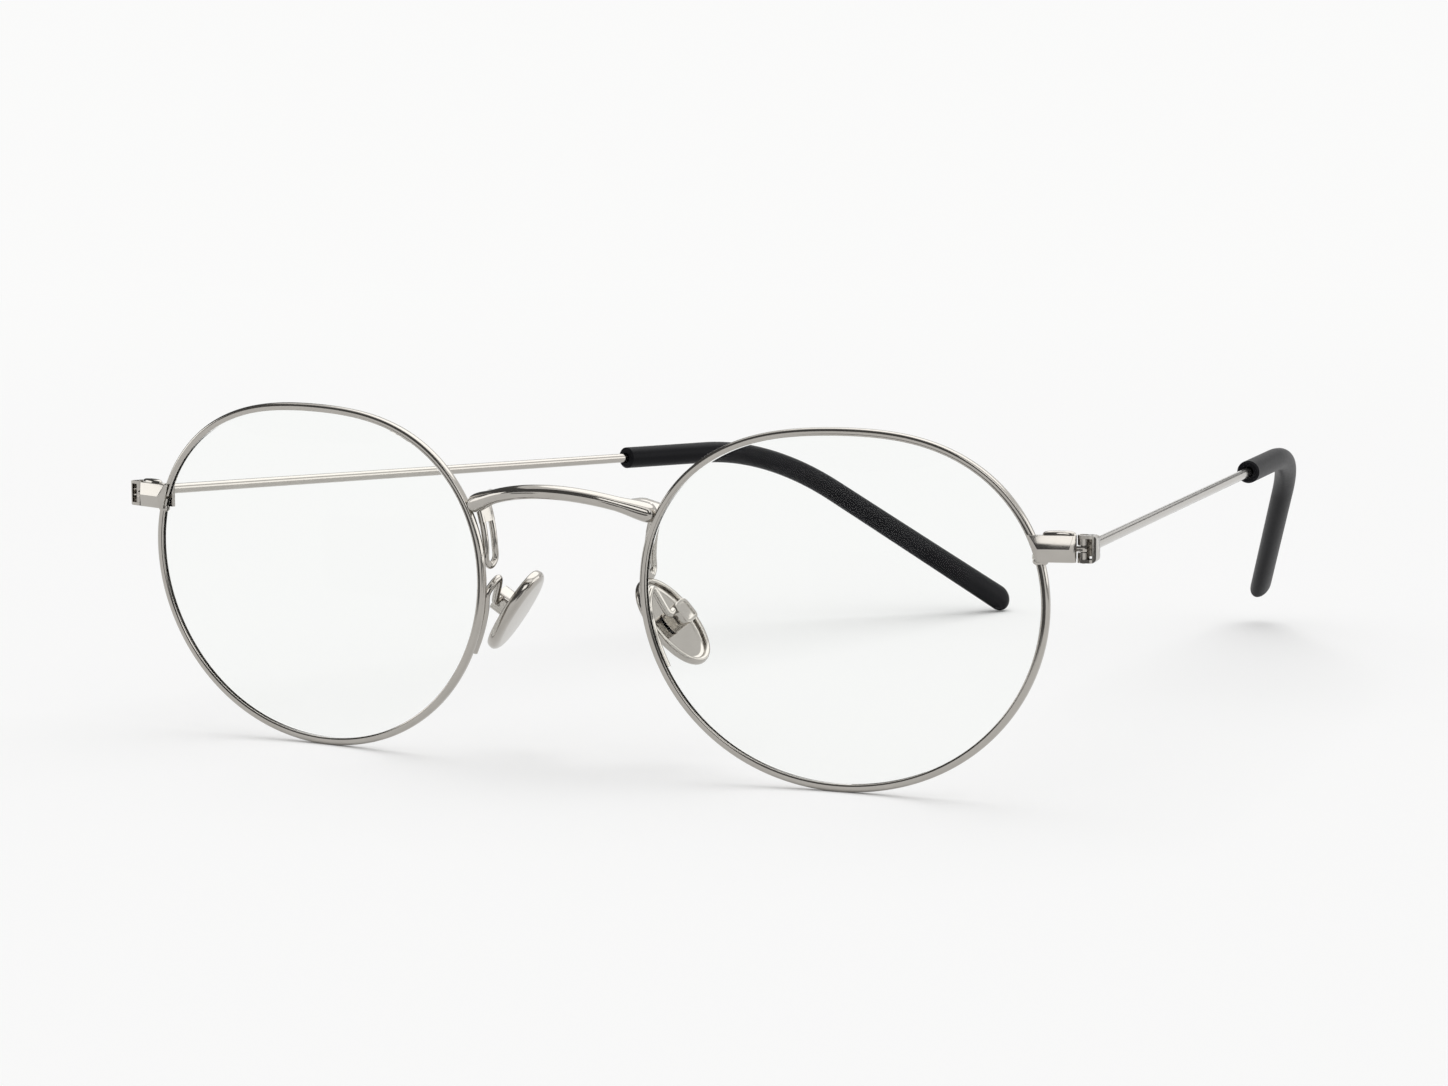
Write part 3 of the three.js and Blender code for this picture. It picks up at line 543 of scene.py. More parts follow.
class GLASSES_OT_lenses(bpy.types.Operator):
    """Shape the clear lenses, with an edge that sits in the rim's groove"""

    bl_idname = "glasses.lenses"
    bl_label = "Lenses"

    def execute(self, context):
        front = settings("front")
        angles = steps(0, 2 * pi, 180)[:-1]
        edge = [in_lens(angle, -front.lens_play, 0) for angle in angles]

        def face(share, side):
            depth = side * front.groove_width / 2 - front.lens_bulge * (1 - share * share)
            return [Vector((point.x * share, depth, point.z * share)) for point in edge]

        zones = [0.02, 0.15, 0.3, 0.45, 0.6, 0.75, 0.88, 1]
        rings = [face(share, -1) for share in zones]
        rings.append([in_lens(angle, front.groove_depth - front.lens_play, 0) for angle in angles])
        rings += [face(share, 1) for share in reversed(zones)]
        lens = smooth(skin(rings), 25)
        place_pair(lens, "clear_lens", "lens", lambda side: lens_frame())
        # Coated lenses let nearly all light through to the floor
        for side in SIDES:
            made = bpy.data.objects[f"{side}_clear_lens"]
            made.visible_shadow = False
            made.visible_diffuse = False
        return {"FINISHED"}


# Bridge


def fade(value, low, high):
    """Goes gently from 0 to 1 between two values."""
    share = min(max((value - low) / (high - low), 0), 1)
    return share * share * (3 - 2 * share)


def oval_reach(half_depth, half_height, shift, angle):
    """How far an oval reaches at an angle, seen from a point beside its middle."""
    curve = (cos(angle) / half_depth) ** 2 + (sin(angle) / half_height) ** 2
    lean = shift * cos(angle) / half_depth ** 2
    return (lean + sqrt(lean * lean + curve * (1 - (shift / half_depth) ** 2))) / curve


def bridge_bar():
    """The arched bar, whose rounded ends lie on leaves that roll back to the feet."""
    front, bridge = settings("front"), settings("bridge")
    end = lens_frame() @ in_lens(bridge.angle, front.rim_wall, bridge.end_behind)
    # Where each change starts and ends, as shares of the way from the middle to an end
    roll_from, leaf_from, leaf_to, flare_from, round_from = 0.5, 0.55, 0.9, 0.65, 0.92
    least_bar, least_leaf, end_flare, leaf_shift = 0.15, 0.3, 0.3, 0.6
    rings = []
    for share in steps(-1, 1, 160):
        rise = 1 - share * share
        place = Vector((share * end.x, end.y - bridge.bow * rise, end.z + bridge.rise * rise))
        along = Vector((end.x, 2 * share * bridge.bow, -2 * share * bridge.rise)).normalized()
        back = UP.cross(along).normalized()
        rolled = Matrix.Rotation(bridge.leaf_roll * fade(abs(share), roll_from, leaf_to), 3, along)
        above = rolled @ along.cross(back)
        back = rolled @ back
        into_end = max(abs(share) - round_from, 0) / (1 - round_from)
        flare = 1 + end_flare * fade(abs(share), flare_from, round_from)
        round_share = least_bar + (flare - least_bar) * sqrt(max(1 - into_end * into_end, 0))
        leaf_share = fade(abs(share), leaf_from, leaf_to)
        leaf_size = least_leaf + (1 - least_leaf) * leaf_share
        leaf_depth = bridge.leaf_depth / 2 * leaf_size
        leaf_height = bridge.leaf_height / 2 * leaf_size
        ring = []
        for angle in steps(0, 2 * pi, 36)[:-1]:
            bar = oval_reach(bridge.depth / 2 * round_share, bridge.height / 2 * round_share, 0, angle)
            leaf = oval_reach(leaf_depth, leaf_height, leaf_depth * leaf_shift * leaf_share, angle)
            reach = max(bar, leaf)
            ring.append(place + back * (reach * cos(angle)) + above * (reach * sin(angle)))
        rings.append(ring)
    return skin(rings)


def foot_place(share, depth):
    """A point on the foot's middle line, which drifts across the rim on its way down."""
    front, bridge = settings("front"), settings("bridge")
    angle = bridge.angle + (bridge.foot_end - bridge.angle) * share
    offset = front.rim_wall + bridge.foot_lean * (0.5 - share)
    return lens_frame() @ in_lens(angle, offset, depth)


def foot_plate():
    """The flat upper part of the foot, tapering into the hairpin."""
    front, bridge = settings("front"), settings("bridge")
    half, side = bridge.foot_thickness / 2, bridge.foot_width / 2
    back = front.rim_depth / 2 + front.solder_gap + side
    section = rounded([(-half, -side), (half, -side), (half, side), (-half, side)], [half * 0.8] * 4)
    rings = []
    for share in steps(-0.03, 0.3, 10):
        middle = foot_place(share, back)
        across = (foot_place(share, back) - lens_frame() @ Vector((0, back, 0))).normalized()
        behind = (foot_place(share, back + side) - middle).normalized()
        rings.append([middle + across * x + behind * y for x, y in section])
    return skin(rings)


def foot_hairpin():
    """The hairpin loop of the foot, with its narrow slot."""
    front, bridge = settings("front"), settings("bridge")
    near = front.rim_depth / 2 + front.solder_gap + bridge.hairpin
    far = front.rim_depth / 2 + front.solder_gap + bridge.foot_width - bridge.hairpin
    leg = (0.05, 0.35, 0.65, 0.88)
    points = [foot_place(share, near) for share in leg]
    points.append(foot_place(0.97, (near + far) / 2))
    points += [foot_place(share, far) for share in reversed(leg)]
    return wire_along(smooth_path(points, 10), bridge.hairpin, 20)


class GLASSES_OT_bridge(bpy.types.Operator):
    """Shape the arched bridge with a hairpin foot behind each rim"""

    bl_idname = "glasses.bridge"
    bl_label = "Bridge"

    def execute(self, context):
        bridge = bridge_bar()
        for side in SIDES:
            foot = join(foot_plate(), foot_hairpin())
            if side == "left":
                foot.data.transform(Matrix.Diagonal((-1, 1, 1, 1)))
                foot.data.flip_normals()
            join(bridge, foot)
        smooth(bridge, 40)
        bridge.name = "arched_bridge"
        bridge.data.transform(standing())
        dress(bridge, "bridge")
        return {"FINISHED"}


# End pieces and hinges


def lug_marks():
    """The lines that the end piece, its lock and its screw share."""
    front, hinge = settings("front"), settings("hinge")
    half = hinge.lug_height / 2
    back = -front.rim_depth / 2 - front.solder_gap
    lock_in = front.rim_wall / 2 / cos(hinge.angle) + half * tan(hinge.angle) + front.solder_gap
    return SimpleNamespace(
        half=half, back=back, lock_in=lock_in, lock_back=back + hinge.lock_depth,
        lock_top=hinge.lock_height - half, outer=hinge.lug_length - front.rim_wall / 2,
        screw=Vector((lock_in + hinge.lock_length / 2, back + hinge.lock_depth / 2, 0)))


def roof_plate():
    """The faceted plate over the split: two slopes that meet in a ridge, hipped at the hinge."""
    front, hinge, marks = settings("front"), settings("hinge"), lug_marks()
    ridge = marks.back - hinge.edge - hinge.ridge
    strap = marks.back - hinge.edge + hinge.strap
    reach = hinge.lug_length
    plan = [(-reach, ridge), (marks.outer - hinge.hip, ridge), (marks.outer, ridge + hinge.hip),
            (marks.outer, strap - hinge.hip / 2), (marks.outer - hinge.hip / 2, strap),
            (marks.lock_in + hinge.lock_length + front.solder_gap, marks.lock_back),
            (marks.lock_in, marks.lock_back), (marks.lock_in, marks.back), (-reach, marks.back)]
    plate = raised(plan, -marks.half, marks.half)
    for up in (-1, 1):
        slice_off(plate, (0, ridge, 0), (0, -marks.half, up * hinge.ridge))
    inner = Vector((-cos(hinge.angle), 0, -sin(hinge.angle)))
    slice_off(plate, inner * (front.rim_wall / 2), inner)
    edge_line = inner * (front.rim_wall / 2 - hinge.inner_bevel) + Vector((0, marks.back - hinge.edge, 0))
    slice_off(plate, edge_line, inner + Vector((0, -1, 0)))
    return ease(cut(plate, lock_room()), hinge.crisp)


def lock_room():
    """The room behind the plate that the closing block takes up."""
    hinge, marks, gap = settings("hinge"), lug_marks(), settings("front").solder_gap
    return block((marks.lock_in - gap, marks.back + gap, -2 * marks.half),
                 (marks.lock_in + hinge.lock_length + gap, marks.lock_back + 2 * gap, marks.lock_top + gap))


def closing_boss():
    """The rounded boss behind the plate, whose domed top stands a little above it."""
    hinge, marks = settings("hinge"), lug_marks()
    # Shares of its half length and of half the plate's height, from below to the dome
    shape = [(0.9, -0.8), (1, -0.75), (1, 0.96), (0.98, 1.08), (0.93, 1.18), (0.84, 1.25), (0.7, 1.3),
             (0.3, 1.32)]
    flat = 0.34
    boss = turned([(hinge.boss * share, marks.half * height) for share, height in shape])
    place = Matrix.Translation((marks.outer - hinge.boss, marks.back * 0.4, 0))
    boss.data.transform(place @ Matrix.Diagonal((1, flat, 1, 1)))
    return cut(boss, lock_room())


def rim_strap():
    """The strap that reaches from the boss behind the rim."""
    front, hinge, marks = settings("front"), settings("hinge"), lug_marks()
    near = front.rim_depth / 2 + front.solder_gap / 2
    end = marks.lock_in + hinge.lock_length / 2
    high = marks.half * 0.9
    strap = block((-front.rim_wall / 2, near, -high), (end, near + hinge.strap_depth, high))
    fuse(strap, block((marks.lock_in + 2 * front.solder_gap, 0, 0),
                      (end, near + hinge.strap_depth / 2, marks.half * 0.8)))
    return ease(cut(strap, lock_room()), hinge.crisp)


def tongue():
    """The flat tongue with its eye, which goes between the ears of the fork."""
    hinge, marks = settings("hinge"), lug_marks()
    half = hinge.tongue_height / 2
    begin, near = marks.outer - hinge.hip / 2, hinge.pin_back - hinge.tongue_width
    shank = block((begin, near, -half), (hinge.pin_out, hinge.pin_back, half))
    cheek, inset = marks.half - hinge.cap, hinge.tongue_width * 0.1
    fuse(shank, block((begin, near + inset, -cheek),
                      (hinge.pin_out - hinge.barrel - hinge.pin_play, hinge.pin_back - inset, cheek)))
    eye = pin(hinge.barrel, -half, half)
    eye.data.transform(Matrix.Translation((hinge.pin_out, hinge.pin_back, 0)))
    hole = pin(hinge.pin + hinge.pin_play, -2 * half, 2 * half)
    hole.data.transform(Matrix.Translation((hinge.pin_out, hinge.pin_back, 0)))
    return ease(cut(fuse(shank, eye), hole), hinge.crisp / 2, 2)


def solder_bead():
    """The bead of solder that runs out along the rim under the end piece."""
    hinge, marks = settings("hinge"), lug_marks()
    down = Vector((sin(hinge.angle), 0, -cos(hinge.angle)))
    bead = start(bpy.ops.mesh.primitive_uv_sphere_add, segments=24, ring_count=14, radius=hinge.solder,
                 location=down * (marks.half + hinge.solder * 0.15), scale=(1.45, 1.1, 0.9))
    return bead


def screw(shank, head, head_height, under, tail):
    """A screw with its slotted head on top at a height, and its shank going down to its tail."""
    hinge = settings("hinge")
    dome = head_height / 4
    made = turned([(shank * 0.6, tail), (shank, tail + shank * 0.4), (shank, under), (head, under),
                   (head, under + head_height - dome), (head * 0.85, under + head_height - dome / 3),
                   (head * 0.4, under + head_height)])
    top = under + head_height
    slot = block((-2 * head, -hinge.screw_slot / 2, top - head_height / 2),
                 (2 * head, hinge.screw_slot / 2, 2 * top))
    return smooth(cut(made, slot), 35)


class GLASSES_OT_end_pieces(bpy.types.Operator):
    """Cut the roof-shaped end pieces with their hinge tongues, and the screwed locks behind them"""

    bl_idname = "glasses.end_pieces"
    bl_label = "End pieces"

    def execute(self, context):
        front, hinge, marks = settings("front"), settings("hinge"), lug_marks()
        lug = smooth(join(roof_plate(), tongue(), solder_bead(), closing_boss(), rim_strap()), 30)
        place_pair(lug, "roof_end_piece", "end_piece", lambda side: lug_frame())
        lock = block((marks.lock_in, marks.back + front.solder_gap, marks.lock_top - hinge.lock_height),
                     (marks.lock_in + hinge.lock_length, marks.lock_back, marks.lock_top))
        low = marks.lock_top - hinge.lock_height + hinge.head_height
        seat = pin(hinge.rim_screw_head + hinge.pin_play, low - hinge.lock_height, low + hinge.pin_play)
        seat.data.transform(Matrix.Translation(marks.screw))
        cut(lock, seat)
        place_pair(smooth(ease(lock, hinge.crisp), 30), "closing_block", "rim_lock", lambda side: lug_frame())
        lock_screw = screw(hinge.rim_screw, hinge.rim_screw_head, hinge.head_height, -low,
                           -marks.lock_top - hinge.rim_screw_grip)
        lock_screw.data.transform(Matrix.Translation(marks.screw) @ Matrix.Rotation(pi, 4, "X"))
        place_pair(lock_screw, "closing_screw", "rim_screw", lambda side: lug_frame())
        return {"FINISHED"}


def fork_strip():
    """The bent strip that runs from the wire forward along the outside of the hinge."""
    hinge, temple = settings("hinge"), settings("temple")
    half, back, barrel = hinge.fork_height / 2, hinge.fork_length, hinge.barrel
    outer, inner = hinge.cap_reach, hinge.cap_reach - hinge.wall
    left, right = temple.offset - temple.wire * 1.1, temple.offset + temple.wire * 1.1
    strip = raised([(inner, -barrel), (inner + hinge.wall / 2, -barrel), (outer, -barrel / 2),
                    (outer, back * 0.7), (right, back), (left, back), (left, back * 0.78),
                    (inner, back * 0.72)], -half, half)
    shoulder = back * 0.4
    for up in (-1, 1):
        end = temple.above + up * temple.wire * 1.4
        slice_off(strip, (0, shoulder, up * half), (0, half - up * end, up * (back - shoulder)))
    return strip


def hinge_fork():
    """Two rounded caps over the pin, each with a short barrel, held by the bent strip."""
    hinge = settings("hinge")
    half = hinge.fork_height / 2
    slot = hinge.tongue_height / 2 + hinge.ear_play
    side = hinge.barrel * 1.1
    outline = rounded([(-hinge.barrel, -side), (hinge.cap_reach, -side), (hinge.cap_reach, side),
                       (-hinge.barrel, side)], [side] * 4, 10)
    fork = fork_strip()
    for low, high in ((half - hinge.cap, half), (-half, hinge.cap - half)):
        fuse(fork, raised(outline, low, high))
    # Three flats round off the outer corners, above and below
    corner = hinge.wall * 1.3
    for tilt in (0.3, 0.8, 1.3):
        for up in (-1, 1):
            away = Vector((cos(tilt), 0, up * sin(tilt)))
            middle = Vector((hinge.cap_reach - corner, 0, up * (half - corner)))
            slice_off(fork, middle + away * corner, away)
    for low, high in ((slot, half - hinge.cap / 2), (hinge.cap / 2 - half, -slot)):
        fuse(fork, pin(hinge.barrel, low, high))
    cut(fork, pin(hinge.pin + hinge.pin_play, -2 * half, 2 * half))
    cut(fork, pin(hinge.pin_head + hinge.pin_play, half - hinge.head_height - hinge.pin_play, 2 * half))
    return smooth(ease(fork, hinge.crisp / 2), 30)


class GLASSES_OT_hinges(bpy.types.Operator):
    """Shape the hinge forks round the tongues, and the slotted screws through both"""

    bl_idname = "glasses.hinges"
    bl_label = "Hinges"

    def execute(self, context):
        hinge = settings("hinge")
        half = hinge.fork_height / 2
        place_pair(hinge_fork(), "hinge_ears", "hinge_fork", hinge_frame)
        hinge_screw = screw(hinge.pin, hinge.pin_head, hinge.head_height, half - hinge.head_height,
                            -half - hinge.pin_tail)
        place_pair(hinge_screw, "slotted_screw", "hinge_screw", hinge_frame)
        return {"FINISHED"}


# Temples


def temple_bend():
    """The temple's middle line: a straight stretch, the ear bend and the drop."""
    temple = settings("temple")
    foot = temple.tip_height / 2
    fall = (temple.drop - foot) * sin(temple.drop_angle)
    slope = asin((fall + foot - HINGE_PIN.z - temple.above) / temple.to_bend)
    along = Vector((0, cos(slope), sin(slope)))
    down = Vector((-sin(temple.inward) * cos(temple.drop_angle), cos(temple.inward) * cos(temple.drop_angle),
                   -sin(temple.drop_angle)))
    angle = along.angle(down)
    tangent = temple.bend * tan(angle / 2)
    begin = temple.to_bend - tangent
    end = begin + temple.bend * angle
    return SimpleNamespace(
        along=along, axis=along.cross(down).normalized(), angle=angle, begin=begin, end=end,
        length=end + temple.drop - tangent, foot=foot)


def temple_ring(bend, distance, half_width, half_height, sides):
    """A ring about the temple's middle line at a distance behind the hinge pin."""
    temple = settings("temple")
    angle = min(max((distance - bend.begin) / temple.bend, 0), bend.angle)
    direction = Matrix.Rotation(angle, 3, bend.axis) @ bend.along
    place = (Vector((temple.offset, 0, temple.above))
             + bend.along * (min(distance, bend.begin) + temple.bend * sin(angle))
             + bend.axis.cross(bend.along) * (temple.bend * (1 - cos(angle)))
             + direction * max(distance - bend.end, 0))
    above = -bend.axis.cross(direction)
    return [place + bend.axis * (half_width * p.x) + above * (half_height * p.y) for p in circle(1, 0, sides)]


def tip_half_sizes(bend, distance):
    """Half the tip's width and height at a distance: it swells towards a rounded end."""
    temple = settings("temple")
    share = ((distance - temple.to_tip) / (bend.length - temple.to_tip)) ** 2
    chamfer = max(0, temple.tip_chamfer - (distance - temple.to_tip))
    from_end = min(max(1 - (bend.length - distance) / bend.foot, 0), 0.999)
    end_round = sqrt(1 - from_end * from_end)
    width = temple.tip_start + (temple.tip_width / 2 - temple.tip_start) * share - chamfer
    height = temple.tip_start + (temple.tip_height / 2 - temple.tip_start) * share - chamfer
    return width * end_round, height * end_round


class GLASSES_OT_temples(bpy.types.Operator):
    """Draw the round temple wires and the moulded black tips bent for the ears"""

    bl_idname = "glasses.temples"
    bl_label = "Temples"

    def execute(self, context):
        front, hinge, temple = settings("front"), settings("hinge"), settings("temple")
        bend = temple_bend()
        curve = steps(bend.begin, bend.end, 28)
        begin = hinge.fork_length + front.solder_gap
        collar = [(begin + temple.collar * share, temple.wire + temple.collar * 0.2 * (1 - share) ** 2)
                  for share in steps(0, 1, 6)]
        stops = [*collar, *((stop, temple.wire) for stop in [*curve, bend.length - temple.wire_cover])]
        wire = skin([temple_ring(bend, stop, radius, radius, 28) for stop, radius in stops])
        place_pair(smooth(wire), "round_wire", "temple_wire", temple_frame)

        bore = temple.wire + front.solder_gap
        rings = [temple_ring(bend, temple.to_tip + temple.socket, bore, bore, 40),
                 temple_ring(bend, temple.to_tip, bore, bore, 40)]
        shoulder = bend.length - bend.foot
        start_curve = steps(temple.to_tip, temple.to_tip + temple.tip_chamfer, 3)
        end_curve = [shoulder + bend.foot * sin(a) for a in steps(0, radians(87), 10)]
        level = steps(start_curve[-1], bend.begin, 6)[1:-1]
        straight = steps(bend.end, shoulder, 8)[1:-1]
        for stop in [*start_curve, *level, *curve, *straight, *end_curve]:
            rings.append(temple_ring(bend, stop, *tip_half_sizes(bend, stop), 40))
        place_pair(smooth(skin(rings), 35), "black_tip", "temple_tip", temple_frame)
        return {"FINISHED"}


# Nose pads


def pad_ring(inset, level, sides=72):
    """An oval ring of the pad, drawn in from its outline at a level."""
    pads = settings("pads")
    return [Vector((level, (pads.width / 2 - inset) * p.x, (pads.length / 2 - inset) * p.y))
            for p in circle(1, 0, sides)]


def pad_profile():
    """Insets and levels from the flat of the nose side over the edge to the dished back."""
    pads = settings("pads")
    quarter = steps(0, pi / 2, 8)
    swell = [(pads.face_inset * (1 - sin(a)), -pads.front * cos(a)) for a in quarter[:-1]]
    crest = pads.lip_width * 0.45
    outside = [(crest * (1 - cos(a)), pads.lip * sin(a)) for a in quarter[:-1]]
    fall = (pads.lip - pads.floor) * 0.65
    inside = [(crest + (pads.lip_width - crest) * sin(a), pads.lip - fall * (1 - cos(a))) for a in quarter]
    rest = pads.lip - fall - pads.floor
    fillet = [(pads.lip_width + 2 * rest * (1 - cos(a)), pads.floor + rest * (1 - sin(a)))
              for a in quarter[1:]]
    return swell + outside + inside + fillet


def nose_pad():
    """The oval pad with the tab on its back that goes into the bucket."""
    pads = settings("pads")
    plate = skin([pad_ring(inset, level) for inset, level in pad_profile()])
    half_width = pads.box_width / 2 - pads.box_wall - pads.tab_play
    half_length = pads.box_length / 2 - pads.box_wall - pads.tab_play
    top = pads.box_lift + pads.box_depth - pads.box_wall - pads.box_recess - pads.tab_play
    tab = ease(block((0, -half_width, -half_length), (top, half_width, half_length)), pads.tab_play / 2)
    return smooth(join(plate, tab), 40)


def pad_box():
    """The small bucket on the arm's end, open towards the pad."""
    pads = settings("pads")
    side, half = pads.box_width / 2, pads.box_length / 2
    plan = rounded([(-side, -half), (side, -half), (side, half), (-side, half)], [pads.box_corner] * 4, 6)
    top = pads.box_lift + pads.box_depth
    shell = skin([[Vector((x, y, z)) for y, z in plan] for x in (pads.box_lift, top)])
    wall = pads.box_wall
    cut(shell, block((pads.box_lift - wall, wall - side, wall - half),
                     (top - wall - pads.box_recess, side - wall, half - wall)))
    hollow = rounded([(wall - side, wall - half), (side - wall, wall - half), (side - wall, half - wall),
                      (wall - side, half - wall)], [pads.box_corner - wall] * 4, 6)
    cut(shell, skin([[Vector((x, y, z)) for y, z in hollow] for x in (top - pads.box_recess, top + wall)]))
    return smooth(ease(shell, wall / 3), 30)


def smooth_path(points, count):
    """A centripetal curve through given points, as evenly stepped points."""
    points = [Vector(p) for p in points]
    points = [2 * points[0] - points[1], *points, 2 * points[-1] - points[-2]]
    path = []
    for a, b, c, d in zip(points, points[1:], points[2:], points[3:]):
        k1 = (b - a).length ** 0.5
        k2 = k1 + (c - b).length ** 0.5
        k3 = k2 + (d - c).length ** 0.5
        for t in steps(k1, k2, count)[:-1]:
            ab = a.lerp(b, t / k1)
            bc = b.lerp(c, (t - k1) / (k2 - k1))
            cd = c.lerp(d, (t - k2) / (k3 - k2))
            path.append(ab.lerp(bc, t / k2).lerp(bc.lerp(cd, (t - k1) / (k3 - k1)), (t - k1) / (k2 - k1)))
    path.append(points[-2])
    return path


def wire_along(path, radius, sides):
    """A round wire along a path, with its rings carried on from point to point without twist."""
    across = (path[1] - path[0]).orthogonal().normalized()
    rings = []
    for index, place in enumerate(path):
        ahead = path[min(index + 1, len(path) - 1)] - path[max(index - 1, 0)]
        ahead.normalize()
        across = (across - ahead * across.dot(ahead)).normalized()
        other = ahead.cross(across)
        rings.append([place + across * (radius * p.x) + other * (radius * p.y) for p in circle(1, 0, sides)])
    return skin(rings)


def arm_path():
    """The pad arm's line: along the rim, up over its hook and into the side of the box."""
    front, pads = settings("front"), settings("pads")
    to_front, to_pad = lens_frame(), pad_frame()
    seat = front.rim_depth / 2 + front.solder_gap + pads.arm
    base = [to_front @ in_lens(angle, front.rim_wall / 2, seat)
            for angle in steps(pads.arm_start, pads.arm_leave, 4)]
    outer = pads.box_lift + pads.box_depth - pads.arm - front.solder_gap
    above = pads.box_length / 2 - pads.arm - front.solder_gap
    beside = -pads.box_width / 2 - front.solder_gap
    end = to_pad @ Vector((outer, beside, above))
    entry = to_pad @ Vector((outer, beside - 2 * pads.arm, above))
    crest = base[-1].lerp(entry, 0.55) + Vector((-pads.arm_inward, 0, pads.arm_rise))
    return smooth_path([*base, crest, entry, end], 12)


class GLASSES_OT_nose_pads(bpy.types.Operator):
    """Shape the dished metal nose pads, and the boxes, pins and hooked arms that carry them"""

    bl_idname = "glasses.nose_pads"
    bl_label = "Nose pads"

    def execute(self, context):
        pads = settings("pads")
        place_pair(nose_pad(), "dished_pad", "nose_pad", lambda side: pad_frame())
        place_pair(pad_box(), "pad_bucket", "pad_box", lambda side: pad_frame())
        half = pads.box_width / 2
        rivet = smooth(pin(pads.pin, -half, half, pads.pin / 4), 30)
        rivet.data.transform(Matrix.Translation((pads.pin_height, 0, 0)) @ Matrix.Rotation(pi / 2, 4, "X"))
        place_pair(rivet, "pad_rivet", "pad_pin", lambda side: pad_frame())
        arm = smooth(wire_along(arm_path(), pads.arm, 20))
        place_pair(arm, "hooked_arm", "pad_arm", lambda side: Matrix.Identity(4))
        return {"FINISHED"}


# Materials


def add_node(tree, kind, options=(), inputs=()):
    """Adds a node, makes its own options, and fills its sockets with values or links."""
    made = tree.nodes.new(kind)
    for name, value in dict(options).items():
        setattr(made, name, value)
    for name, value in dict(inputs).items():
        if isinstance(value, bpy.types.NodeSocket):
            tree.links.new(value, made.inputs[name])
        else:
            made.inputs[name].default_value = value
    return made


def per_metre(millimetres):
    """The texture scale that gives a pattern its size in millimetres on Object coordinates in metres."""
    return 1 / (millimetres * MM)


def opaque(values):
    return (*values, 1.0)


def new_material(name):
    """An empty node material with its output and the piece's own coordinates."""
    material = bpy.data.materials.new(name)
    material.use_nodes = True
    tree = material.node_tree
    tree.nodes.clear()
    output = add_node(tree, "ShaderNodeOutputMaterial")
    place = add_node(tree, "ShaderNodeTexCoord").outputs["Object"]
    return material, tree, output, place


def polished_steel():
    """Stainless steel, drawn and then buffed: bright, with faint clouds and hairline polishing marks."""
    finish = settings("finish")
    _, tree, output, place = new_material("Polished stainless steel")
    cloud = add_node(tree, "ShaderNodeTexNoise", inputs={
        "Vector": place, "Scale": per_metre(2.5), "Detail": 3.0})
    tone = add_node(tree, "ShaderNodeMix", {"data_type": "RGBA"}, {
        "Factor": cloud.outputs["Fac"], "A": opaque(finish.steel_shade), "B": opaque(finish.steel)})
    # Real hairlines are finer than a pixel here, so they are drawn 0.12 mm apart.
    hairline = add_node(tree, "ShaderNodeTexNoise", inputs={
        "Vector": place, "Scale": per_metre(0.12), "Detail": 2.0})
    gloss = add_node(tree, "ShaderNodeMapRange", inputs={
        "Value": cloud.outputs["Fac"], "To Min": 0.07, "To Max": 0.17})
    bump = add_node(tree, "ShaderNodeBump", inputs={
        "Height": hairline.outputs["Fac"], "Strength": 0.02, "Distance": 0.02 * MM})
    add_node(tree, "ShaderNodeBsdfPrincipled", inputs={
        "Base Color": tone.outputs["Result"], "Metallic": 1.0, "Roughness": gloss.outputs["Result"],
        "Normal": bump.outputs["Normal"]})
    tree.links.new(tree.nodes["Principled BSDF"].outputs["BSDF"], output.inputs["Surface"])


def turned_steel():
    """Screw steel, turned on a lathe: a little darker and duller than the buffed frame."""
    finish = settings("finish")
    _, tree, output, place = new_material("Turned steel")
    grain = add_node(tree, "ShaderNodeTexNoise", inputs={
        "Vector": place, "Scale": per_metre(0.15), "Detail": 2.0})
    gloss = add_node(tree, "ShaderNodeMapRange", inputs={
        "Value": grain.outputs["Fac"], "To Min": 0.18, "To Max": 0.32})
    bump = add_node(tree, "ShaderNodeBump", inputs={
        "Height": grain.outputs["Fac"], "Strength": 0.1, "Distance": 0.02 * MM})
    add_node(tree, "ShaderNodeBsdfPrincipled", inputs={
        "Base Color": opaque(finish.screw), "Metallic": 1.0, "Roughness": gloss.outputs["Result"],
        "Normal": bump.outputs["Normal"]})
    tree.links.new(tree.nodes["Principled BSDF"].outputs["BSDF"], output.inputs["Surface"])


def clear_lens():
    """Lens plastic with a coat against reflections: clear, very smooth, with the faintest film on it.

    The coat is as good as a low index, so the lens hardly mirrors what stands around it.
    """
    finish = settings("finish")
    _, tree, output, place = new_material("Clear lens")
    film = add_node(tree, "ShaderNodeTexNoise", inputs={
        "Vector": place, "Scale": per_metre(9), "Detail": 2.0})
    gloss = add_node(tree, "ShaderNodeMapRange", inputs={
        "Value": film.outputs["Fac"], "From Min": 0.45, "From Max": 0.8, "To Min": 0.0, "To Max": 0.012})
    add_node(tree, "ShaderNodeBsdfPrincipled", inputs={
        "Base Color": opaque(finish.lens), "Roughness": gloss.outputs["Result"], "IOR": 1.15,
        "Transmission Weight": 1.0})
    tree.links.new(tree.nodes["Principled BSDF"].outputs["BSDF"], output.inputs["Surface"])


